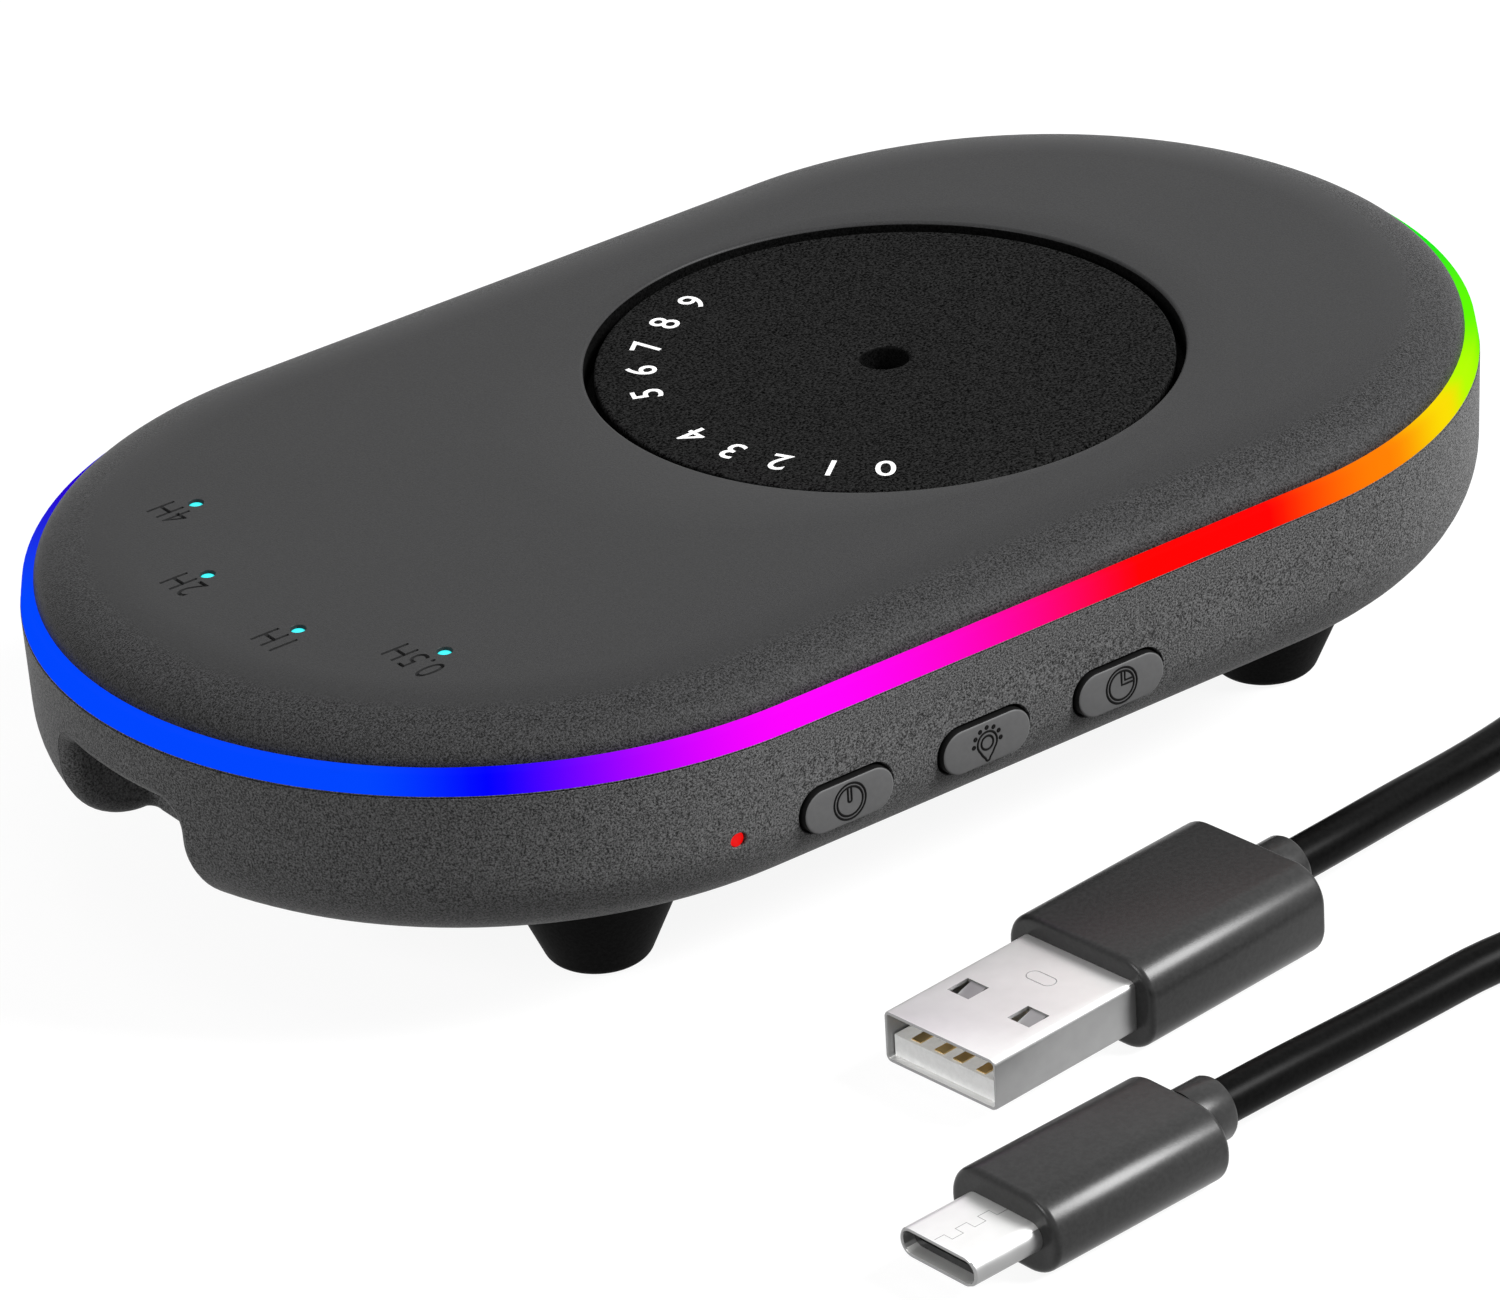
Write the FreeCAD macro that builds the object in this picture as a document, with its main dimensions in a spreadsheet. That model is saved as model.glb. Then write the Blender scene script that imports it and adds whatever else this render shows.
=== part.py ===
"""Mouse jiggler: a turntable desk gadget with a light ring, three push buttons and a detachable USB cable.

Millimetres, +Z up.  The origin is the middle of the case's footprint, on the surface that the feet stand on.
+X is the long axis, towards the turntable end; -Y is the button side; the power socket is in the -X end.
"""
import FreeCAD, Part
import math
import os
from types import SimpleNamespace

import Sketcher
from FreeCAD import Placement, Rotation, Vector

doc = FreeCAD.newDocument("mouse_jiggler")


# ---------------------------------------------------------------- driving dimensions

class Size:
    """A length or angle together with the sheet expression that it comes from."""

    def __init__(self, value, text):
        self.value = value
        self.text = text

    def __float__(self):
        return float(self.value)

    def joined(self, other, value, sign):
        return Size(value, f"({self.text} {sign} {other.text})")

    def __add__(self, other):
        other = size(other)
        return self.joined(other, self.value + other.value, "+")

    def __sub__(self, other):
        other = size(other)
        return self.joined(other, self.value - other.value, "-")

    def __mul__(self, other):
        other = size(other)
        return self.joined(other, self.value * other.value, "*")

    def __truediv__(self, other):
        other = size(other)
        return self.joined(other, self.value / other.value, "/")

    def __radd__(self, other):
        return size(other) + self

    def __rsub__(self, other):
        return size(other) - self

    def __rmul__(self, other):
        return size(other) * self

    def __neg__(self):
        return size(0) - self


def size(number):
    return number if isinstance(number, Size) else Size(number, repr(number))


def tangent(angle):
    return Size(math.tan(math.radians(angle.value)), f"tan({angle.text})")


def cosine(angle):
    return Size(math.cos(math.radians(angle.value)), f"cos({angle.text})")


def sine(angle):
    return Size(math.sin(math.radians(angle.value)), f"sin({angle.text})")


def root_of(long_side, short_side):
    """The other short side of a right-angled triangle."""
    a, b = size(long_side), size(short_side)
    return Size(math.sqrt(a.value**2 - b.value**2), f"sqrt({(a * a).text} - {(b * b).text})")


DIMENSIONS = {
    # case
    "half_straight": 27.1,      # half of each straight side
    "end_radius": 38.6,         # round ends, at the seam
    "foot_height": 9.2,         # underside of the case above the desk
    "seam_height": 23.9,        # top edge of the bottom shell
    "ring_height": 1.9,         # visible height of the light ring
    "ring_lean": 7.5,           # how far the ring's face leans inwards
    "crown_inset": 1.25,        # the top shell's rim leaves a ledge of the ring showing
    "crown_height": 3.2,        # top shell above the light ring
    "crown_run": 8.35,           # width of the top shell's rounded edge
    "draft_angle": 1.5,         # lean of the bottom shell's wall
    "belly_radius": 7.0,        # rounding under the bottom shell
    "wall": 2.0,                # bottom shell's wall and floor
    "top_wall": 1.8,            # top shell's plate
    "rim_width": 3.15,           # flat edge of the top shell that sits on the ring
    "lip_wall": 1.6,            # locating lip under the top shell
    "lip_drop": 1.35,           # how far that lip reaches below the rim
    "fit_gap": 0.2,             # clearance between pieces that locate each other
    "snug_gap": 0.02,           # clearance of a pressed or glued fit
    "running_gap": 0.05,        # clearance of a turning or sliding fit
    # light ring and its strip
    "ring_inset": 0.05,         # ring face behind the shells' faces
    "ring_lip_wall": 2.0,
    "ring_lip_drop": 2.1,
    "led_gap": 0.2,             # between the LEDs and the ring
    "strip_thick": 0.25,
    "strip_width": 3.6,
    "strip_drop": 3.3,          # strip's lower edge below the seam
    "strip_break": 3.0,         # opening where the strip's ends meet
    "led_thick": 0.95,
    "led_long": 3.5,
    "led_wide": 2.4,
    "led_pitch": 18.0,
    "led_fan": 30.0,            # angle between LEDs on a round end
    # feet and case screws
    "foot_inset_x": 30.84,      # from the end of the case
    "foot_inset_y": 16.86,      # from the side of the case
    "foot_tip_radius": 4.12,
    "foot_lean": 23.5,
    "foot_round": 1.33,
    "peg_length": 2.5,
    "well_radius": 3.1,         # screw well that each foot's peg fills
    "well_depth": 4.8,
    "case_boss_radius": 4.0,
    "case_boss_drop": 2.0,      # below the seam
    "lid_boss_radius": 3.5,
    "case_screw_radius": 1.3,
    "case_screw_cover": 1.6,    # plastic over the screw's tip
    "case_head_radius": 2.4,
    "case_head_height": 2.0,
    # turntable
    "table_inset": 52.73,       # turntable's axis from the end of the case
    "table_well_radius": 25.0,
    "table_gap": 0.85,          # ring-shaped gap round the disc
    "table_drop": 0.45,         # disc's face below the top shell's face
    "table_thick": 2.0,
    "table_float": 0.6,         # disc above the well floor
    "well_floor": 1.6,
    "well_wall": 1.6,
    "hub_radius": 4.0,
    "hub_reach": 0.7,           # hub below its bush
    "hub_hole_radius": 2.05,
    "hub_hole_depth": 3.35,
    "hub_collar_radius": 5.5,
    "bush_wall": 1.15,
    "bush_length": 3.05,
    "bush_flange": 0.25,
    "bush_boss_radius": 7.0,
    "spindle_radius": 2.0,
    "hub_web": 1.2,             # between the spindle and the screw's head
    "spindle_length": 6.8,
    "post_radius": 4.0,
    "post_drop": 0.7,           # post below the turntable gear
    "post_clearance": 0.2,      # spindle above the floor of its bore
    "table_screw_radius": 1.0,
    "table_screw_length": 4.7,
    "table_head_radius": 1.9,
    "table_head_height": 0.8,
    # gears
    "gear_module": 0.5,
    "table_teeth": 60,
    "idler_small_teeth": 18,
    "idler_big_teeth": 36,
    "pinion_teeth": 18,
    "backlash": 0.12,
    "upper_gear_face": 2.6,
    "gear_step": 0.3,           # between the two gears of the idler
    "lower_gear_face": 2.2,
    "idler_bearing_angle": 150.0,   # from the turntable's axis
    "motor_bearing_angle": 165.0,   # from the idler's axis
    "idler_pin_radius": 1.0,
    "idler_post_radius": 2.6,
    "idler_pin_rise": 1.4,      # pin above the idler
    # motor
    "motor_radius": 9.0,
    "motor_shaft_radius": 1.0,
    "cradle_wall": 1.05,
    "cradle_height": 2.2,
    "clamp_thick": 0.7,
    "clamp_hole_radius": 5.2,
    "clamp_ear_reach": 13.2,
    "clamp_ear_width": 4.8,
    # buttons and switches
    "button_first_x": -21.9,
    "button_pitch": 13.8,
    "plunger_height": 2.7,      # plunger above the board
    "button_half_length": 2.48,  # half of the straight part
    "button_radius": 1.95,
    "button_proud": 0.25,       # button faces beyond the case's widest line
    "button_gap": 0.2,
    "button_flange": 0.8,
    "button_flange_thick": 1.0,
    "button_stem_radius": 1.5,
    "plunger_radius": 1.0,
    "plunger_length": 1.9,
    "plunger_reach": 0.9,       # plunger in front of the switch
    "stem_room": 2.99,          # from a button's flange to its switch
    "switch_depth": 3.6,
    "switch_width": 6.0,
    "switch_height": 4.5,
    "button_travel": 0.5,
    # status light
    "status_step": 10.3,        # from the first button
    "status_lift": 2.8,         # above the board
    "status_barrel_radius": 1.5,
    "status_barrel_length": 4.2,
    "status_leg": 0.4,
    "status_radius": 0.62,
    "status_sink": 0.3,         # LED nose behind the wall's face
    # circuit boards
    "board_lift": 0.7,          # above the floor
    "board_thick": 1.2,
    "board_gap": 0.5,           # behind the recess wall
    "board_motor_gap": 0.8,
    "board_side": 6.74,         # between the rear board's edge and the case screws' axes
    "board_corner": 4.86,       # between the front board's edge and the case screws' axes
    "light_post_inset": 4.0,
    "board_margin": 3.3,        # past the last switch
    "board_lip": 0.2,           # in front of the switches
    "board_arm": 26.4,          # depth of the board's front arm
    "board_screw_radius": 1.0,
    "board_head_radius": 1.9,
    "board_head_height": 1.2,
    "board_boss_radius": 2.4,
    "board_screw_length": 3.0,
    "board_screw_inset_x": 4.7,
    "board_screw_inset_y": 3.2,
    "chip_thick": 1.5,
    "control_chip_length": 9.9,
    "control_chip_width": 6.0,
    "driver_chip_length": 4.9,
    "driver_chip_width": 3.9,
    "capacitor_radius": 2.5,
    "capacitor_height": 6.5,
    "connector_gap": 1.0,
    "connector_height": 3.2,
    "connector_depth": 4.0,
    "connector_width": 4.8,
    "tail_connector_depth": 3.0,
    "tail_connector_width": 2.6,
    "ribbon_connector_height": 2.4,
    "ribbon_connector_width": 6.0,
    "ribbon_width": 5.0,
    "ribbon_thick": 0.2,
    "tail_width": 2.2,
    "tail_thick": 0.15,
    "lead_radius": 0.45,
    "lead_height": 1.7,         # above the board
    # timer lights
    "light_inset": 14.2,        # from the case's round end
    "light_step": 30.0,
    "light_radius": 0.58,
    "light_sink": 0.2,
    "light_board_drop": 4.9,    # below the top shell's plate
    "light_board_thick": 1.0,
    "light_board_gap": 6.7,     # inside the strip
    "light_board_length": 10.4,
    "timer_led_length": 1.6,
    "timer_led_width": 1.2,
    "timer_led_height": 0.8,
    "light_flange": 0.55,
    "light_flange_height": 0.7,
    "light_board_margin": 1.35, # past the outer lights
    # cable recess and power socket
    "recess_half_width": 7.6,
    "recess_depth": 9.0,
    "recess_rise": 9.5,
    "recess_round": 2.0,
    "recess_wall": 1.6,
    "socket_half_width": 4.47,
    "socket_height": 3.16,
    "socket_depth": 7.35,
    "socket_wall": 0.3,
    # cable
    "cable_diameter": 3.7,
    "plug_a_x": -29.4,
    "plug_a_y": -58.7,
    "plug_a_turn": 6.8,
    "plug_a_metal": 15.5,
    "plug_a_width": 12.0,
    "plug_a_height": 4.5,
    "plug_a_grip_length": 20.0,
    "plug_a_grip_width": 15.5,
    "plug_a_grip_height": 8.0,
    "plug_b_x": -46.4,
    "plug_b_y": -79.6,
    "plug_b_turn": 4.8,
    "plug_b_metal": 6.8,
    "plug_b_width": 8.3,
    "plug_b_height": 2.5,
    "plug_b_grip_length": 18.2,
    "plug_b_grip_width": 11.6,
    "plug_b_grip_height": 6.6,
    "metal_wall": 0.3,
    "plug_tail": 2.0,           # metal held inside the overmould
    "plug_a_window": 2.3,
    "plug_a_window_x": 5.35,
    "plug_a_window_y": 2.1,     # window's near edge from the middle
    "plug_a_tongue": 1.9,
    "plug_a_round": 3.0,
    "plug_b_slot": 0.7,
    "plug_b_slot_width": 6.4,
    "plug_b_slot_depth": 5.5,
    "relief_length": 4.0,
    "relief_radius": 2.7,
    "coil_x": 67.0,
    "coil_y": -69.5,
    "coil_inner": 12.85,
    "coil_outer": 28.85,
    "tie_thick": 0.8,
    "tie_width": 6.0,
}

sheet = doc.addObject("Spreadsheet::Sheet", "dims")
for row, (alias, value) in enumerate(DIMENSIONS.items(), start=1):
    sheet.set(f"A{row}", alias.replace("_", " "))
    sheet.set(f"B{row}", str(value))
    sheet.setAlias(f"B{row}", alias)
doc.recompute()
S = SimpleNamespace(**{a: Size(v, f"dims.{a}") for a, v in DIMENSIONS.items()})


# ---------------------------------------------------------------- building blocks

def bind(obj, name, value):
    obj.setExpression(name, size(value).text)


def place(obj, x, y, z):
    for axis, value in zip("xyz", (x, y, z)):
        bind(obj, f"Placement.Base.{axis}", value)


def add(kind, label):
    obj = doc.addObject(kind, label)
    obj.Label = label
    return obj


def box(label, x, y, z, length, width, height, turn=0.0):
    """A box from its low corner; turn is its angle about +Z."""
    obj = add("Part::Box", label)
    obj.Placement = Placement(Vector(), Rotation(Vector(0, 0, 1), turn))
    for name, value in (("Length", length), ("Width", width), ("Height", height)):
        bind(obj, name, value)
    place(obj, x, y, z)
    return obj


AXES = {
    "x": Rotation(Vector(0, 1, 0), 90),
    "y": Rotation(Vector(1, 0, 0), -90),
    "z": Rotation(),
}


def rod(label, x, y, z, radius, length, axis="z"):
    """A cylinder from the centre of its low end along +axis."""
    obj = add("Part::Cylinder", label)
    obj.Placement = Placement(Vector(), AXES[axis])
    bind(obj, "Radius", radius)
    bind(obj, "Height", length)
    place(obj, x, y, z)
    return obj


def fuse(label, *pieces):
    obj = add("Part::MultiFuse", label)
    obj.Shapes = list(pieces)
    obj.Refine = True
    return obj


def group(label, *pieces):
    """Separate solids that share one node."""
    obj = add("Part::Compound", label)
    obj.Links = list(pieces)
    return obj


def cut(label, base, *tools):
    obj = add("Part::Cut", label)
    obj.Base = base
    obj.Tool = tools[0] if len(tools) == 1 else fuse(label + "_tools", *tools)
    return obj


def common(label, base, tool):
    obj = add("Part::Common", label)
    obj.Base = base
    obj.Tool = tool
    return obj


def solid(label, shape):
    """A piece whose outline is a formula."""
    obj = add("Part::Feature", label)
    obj.Shape = shape
    return obj


def pill(label, x, y, z, half_length, radius, depth):
    """A stadium-shaped bar that points along +Y, its long way along X."""
    return fuse(
        label,
        box(label + "_middle", x - half_length, y, z - radius, half_length * 2, depth, radius * 2),
        rod(label + "_left", x - half_length, y, z, radius, depth, "y"),
        rod(label + "_right", x + half_length, y, z, radius, depth, "y"),
    )


def plane_of(body, role):
    return next(f for f in body.Origin.OriginFeatures if f.Role == role)


def sketch_at(body, label, z):
    """An empty sketch of the body, flat at height z."""
    sketch = body.newObject("Sketcher::SketchObject", label)
    sketch.AttachmentSupport = (plane_of(body, "XY_Plane"), [""])
    sketch.MapMode = "FlatFace"
    bind(sketch, "AttachmentOffset.Base.z", z)
    return sketch


def constrain(sketch, *terms, value=None):
    index = sketch.addConstraint(Sketcher.Constraint(*terms))
    if value is not None:
        sketch.setExpression(f"Constraints[{index}]", size(value).text)


def stadium_sketch(body, label, half, radius, z):
    """Two straight sides joined by two half circles, centred on the origin."""
    sketch = sketch_at(body, label, z)
    a, r = float(half), float(radius)
    up = Vector(0, 0, 1)
    sketch.addGeometry(
        [
            Part.LineSegment(Vector(a, r, 0), Vector(-a, r, 0)),
            Part.ArcOfCircle(Part.Circle(Vector(-a, 0, 0), up, r), math.pi / 2, 3 * math.pi / 2),
            Part.LineSegment(Vector(-a, -r, 0), Vector(a, -r, 0)),
            Part.ArcOfCircle(Part.Circle(Vector(a, 0, 0), up, r), -math.pi / 2, math.pi / 2),
        ],
        False,
    )
    for first, second in ((0, 1), (1, 2), (2, 3), (3, 0)):
        constrain(sketch, "Tangent", first, 2, second, 1)
    constrain(sketch, "Horizontal", 0)
    constrain(sketch, "Symmetric", 1, 3, 3, 3, -1, 1)
    constrain(sketch, "DistanceX", -1, 1, 3, 3, a, value=half)
    constrain(sketch, "Radius", 1, r, value=radius)
    return sketch


def circle_sketch(body, label, radius, z):
    sketch = sketch_at(body, label, z)
    sketch.addGeometry(Part.Circle(Vector(), Vector(0, 0, 1), float(radius)), False)
    constrain(sketch, "Coincident", 0, 3, -1, 1)
    constrain(sketch, "Radius", 0, float(radius), value=radius)
    return sketch


def padded(label, draw, height, lean=None, round_foot=None):
    """A body padded up from a sketch, its sides leaning out, its bottom edge rounded."""
    body = add("PartDesign::Body", label)
    sketch = draw(body, label + "_outline")
    pad = body.newObject("PartDesign::Pad", label + "_pad")
    pad.Profile = sketch
    bind(pad, "Length", height)
    if lean is not None:
        bind(pad, "TaperAngle", lean)
    sketch.Visibility = False
    if round_foot is not None:
        doc.recompute()
        low = pad.Shape.BoundBox.ZMin
        names = [
            f"Edge{i}"
            for i, edge in enumerate(pad.Shape.Edges, start=1)
            if edge.BoundBox.ZMax < low + 1e-6
        ]
        fillet = body.newObject("PartDesign::Fillet", label + "_fillet")
        fillet.Base = (pad, names)
        bind(fillet, "Radius", round_foot)
    return body


def stadium(label, radius, z, height, lean=None, round_foot=None):
    def draw(body, name):
        return stadium_sketch(body, name, S.half_straight, radius, z)

    return padded(label, draw, height, lean, round_foot)


def stadium_band(label, outer, inner, z, height):
    return cut(
        label,
        stadium(label + "_outer", outer, z, height),
        stadium(label + "_inner", inner, z, height),
    )


def four_corners(make, label, x, y):
    """One copy at each sign of x and y, numbered from 1."""
    signs = [(-1, -1), (1, -1), (1, 1), (-1, 1)]
    return [make(f"{label}_{i}", sx * x, sy * y) for i, (sx, sy) in enumerate(signs, start=1)]


def screw(label, x, y, seat, head_radius, head_height, radius, length, head_up=True):
    """A pan-head screw with a cross recess; seat is the height of the head's bearing face."""
    if head_up:
        head_z = seat
        shank_z = seat - length
        slot_z = seat + head_height * 0.4
    else:
        head_z = seat - head_height
        shank_z = seat
        slot_z = seat - head_height
    arm = head_radius * 0.55
    width = head_radius * 0.22
    slot_height = head_height * 0.6
    return cut(
        label,
        fuse(
            label + "_blank",
            rod(label + "_head", x, y, head_z, head_radius, head_height),
            rod(label + "_shank", x, y, shank_z, radius, length),
        ),
        box(label + "_slot_x", x - arm, y - width / 2, slot_z, arm * 2, width, slot_height),
        box(label + "_slot_y", x - width / 2, y - arm, slot_z, width, arm * 2, slot_height),
    )


# ---------------------------------------------------------------- heights and places worked out from the sizes

floor_top = S.foot_height + S.wall
ring_top = S.seam_height + S.ring_height
top_face = ring_top + S.crown_height
plate_base = top_face - S.top_wall
root = 0.3                                      # how far a rib or boss is sunk into the wall that carries it
lean = tangent(S.draft_angle)
crown_radius = S.end_radius - S.crown_inset
lip_radius = crown_radius - S.rim_width
table_face = top_face - S.table_drop
table_base = table_face - S.table_thick
well_floor_top = table_base - S.table_float
well_floor_base = well_floor_top - S.well_floor
S.board_base = floor_top + S.board_lift
board_top = S.board_base + S.board_thick
button_face = S.end_radius + S.button_proud
case_seat = S.foot_height + S.well_depth


def case_radius(z):
    """Outer radius of the bottom shell's round ends at height z, above the rounding."""
    return S.end_radius - (S.seam_height - z) * lean


# places along the case
S.foot_x = S.half_straight + S.end_radius - S.foot_inset_x
S.foot_y = S.end_radius - S.foot_inset_y
S.table_x = S.half_straight + S.end_radius - S.table_inset
S.recess_back_x = S.recess_depth - S.half_straight - S.end_radius
S.recess_top = S.foot_height + S.recess_rise
S.strip_radius = lip_radius + S.fit_gap - S.led_gap - S.led_thick - S.strip_thick
S.strip_base = S.seam_height - S.strip_drop
S.light_circle_radius = S.end_radius - S.light_inset
S.light_board_base = plate_base - S.light_board_drop
S.light_board_x = S.light_board_gap - S.half_straight - S.strip_radius
S.light_board_half_width = S.light_circle_radius * sine(S.light_step * 1.5) + S.light_board_margin
S.case_boss_top = S.seam_height - S.case_boss_drop
S.case_screw_length = plate_base - S.case_screw_cover - case_seat

# heights of the turntable's drive, down from the well floor
S.bush_bottom = well_floor_top - S.bush_length
S.hub_bottom = S.bush_bottom - S.hub_reach
S.hub_hole_floor = table_face - S.hub_hole_depth
S.spindle_top = S.hub_hole_floor - S.hub_web
S.spindle_bottom = S.spindle_top - S.spindle_length
S.table_screw_bottom = S.hub_hole_floor - S.table_screw_length
S.upper_gear_bottom = S.hub_bottom - S.upper_gear_face
S.lower_gear_bottom = S.upper_gear_bottom - S.gear_step - S.lower_gear_face
S.post_top = S.upper_gear_bottom - S.post_drop
S.idler_pin_top = S.hub_bottom + S.idler_pin_rise
S.motor_height = S.lower_gear_bottom - S.fit_gap - S.clamp_thick - floor_top


def gear_distance(teeth_a, teeth_b):
    return (teeth_a + teeth_b) * S.gear_module / 2


idler_reach = gear_distance(S.table_teeth, S.idler_small_teeth)
idler_x = S.table_x + idler_reach * cosine(S.idler_bearing_angle)
idler_y = idler_reach * sine(S.idler_bearing_angle)
motor_reach = gear_distance(S.idler_big_teeth, S.pinion_teeth)
motor_x = idler_x + motor_reach * cosine(S.motor_bearing_angle)
motor_y = idler_y + motor_reach * sine(S.motor_bearing_angle)


# the board fills the room between the recess, the motor and the switches
S.button_height = board_top + S.plunger_height
inner_wall = case_radius(S.button_height) - S.wall
S.switch_front = inner_wall - S.fit_gap - S.button_flange_thick - S.stem_room
S.status_x = S.button_first_x - S.status_step
S.status_height = board_top + S.status_lift
S.board_back_x = S.recess_back_x + S.recess_wall + S.board_gap
S.board_rear_x = motor_x - S.motor_radius - S.fit_gap - S.cradle_wall - S.board_motor_gap
S.board_front_x = S.button_first_x + S.button_pitch * 2 + S.switch_width / 2 + S.board_margin
S.board_front_y = -(S.switch_front + S.board_lip)
S.board_half_width = S.foot_y - S.board_side
board_corner_x = S.board_corner - S.foot_x
S.board_middle_y = S.board_front_y + S.board_arm


def light_place(index):
    """The timer lights stand on an arc about the -X round end's centre."""
    angle = 180.0 + (index - 1.5) * S.light_step
    return (
        S.light_circle_radius * cosine(angle) - S.half_straight,
        S.light_circle_radius * sine(angle),
    )


def button_x(index):
    return S.button_first_x + index * S.button_pitch


lead_start = S.board_rear_x - S.board_motor_gap
ribbon_x = S.light_board_x + S.light_board_length - S.tail_width
tail_x = S.board_front_x - S.tail_connector_width
tail_end = S.board_front_y + S.board_motor_gap
tail_height = board_top + S.connector_height / 2
nodes = []


def keep(obj):
    """Marks a finished piece: its label is the node's name."""
    nodes.append(obj)
    return obj


# ---------------------------------------------------------------- bottom shell

def recess_block(label, grow):
    """The cable recess in the -X end, open outwards and downwards, grown by its wall's thickness."""
    half = S.recess_half_width + grow
    back = S.recess_back_x + grow
    top = S.recess_top + grow
    start = -S.half_straight - S.end_radius - 2
    body = add("PartDesign::Body", label)
    sketch = sketch_at(body, label + "_outline", S.foot_height - 2)
    x0, x1, y1 = float(start), float(back), float(half)
    sketch.addGeometry(
        [
            Part.LineSegment(Vector(x0, -y1, 0), Vector(x1, -y1, 0)),
            Part.LineSegment(Vector(x1, -y1, 0), Vector(x1, y1, 0)),
            Part.LineSegment(Vector(x1, y1, 0), Vector(x0, y1, 0)),
            Part.LineSegment(Vector(x0, y1, 0), Vector(x0, -y1, 0)),
        ],
        False,
    )
    for first, second in ((0, 1), (1, 2), (2, 3), (3, 0)):
        constrain(sketch, "Coincident", first, 2, second, 1)
    constrain(sketch, "Horizontal", 0)
    constrain(sketch, "Horizontal", 2)
    constrain(sketch, "Vertical", 1)
    constrain(sketch, "Vertical", 3)
    constrain(sketch, "DistanceX", 0, 1, -1, 1, -x0, value=-start)
    constrain(sketch, "DistanceX", 0, 2, -1, 1, -x1, value=-back)
    constrain(sketch, "DistanceY", 0, 1, -1, 1, y1, value=half)
    constrain(sketch, "DistanceY", -1, 1, 2, 1, y1, value=half)
    pad = body.newObject("PartDesign::Pad", label + "_pad")
    pad.Profile = sketch
    bind(pad, "Length", top - S.foot_height + 2)
    doc.recompute()
    high = pad.Shape.BoundBox.ZMax
    names = []
    for i, edge in enumerate(pad.Shape.Edges, start=1):
        b = edge.BoundBox
        upright_back = b.ZLength > 1 and b.XMin > x1 - 1e-6
        top_edge = b.ZMin > high - 1e-6 and b.XMax > x1 - 1e-6
        if upright_back or top_edge:
            names.append(f"Edge{i}")
    fillet = body.newObject("PartDesign::Fillet", label + "_fillet")
    fillet.Base = (pad, names)
    bind(fillet, "Radius", S.recess_round)
    return body


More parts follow.
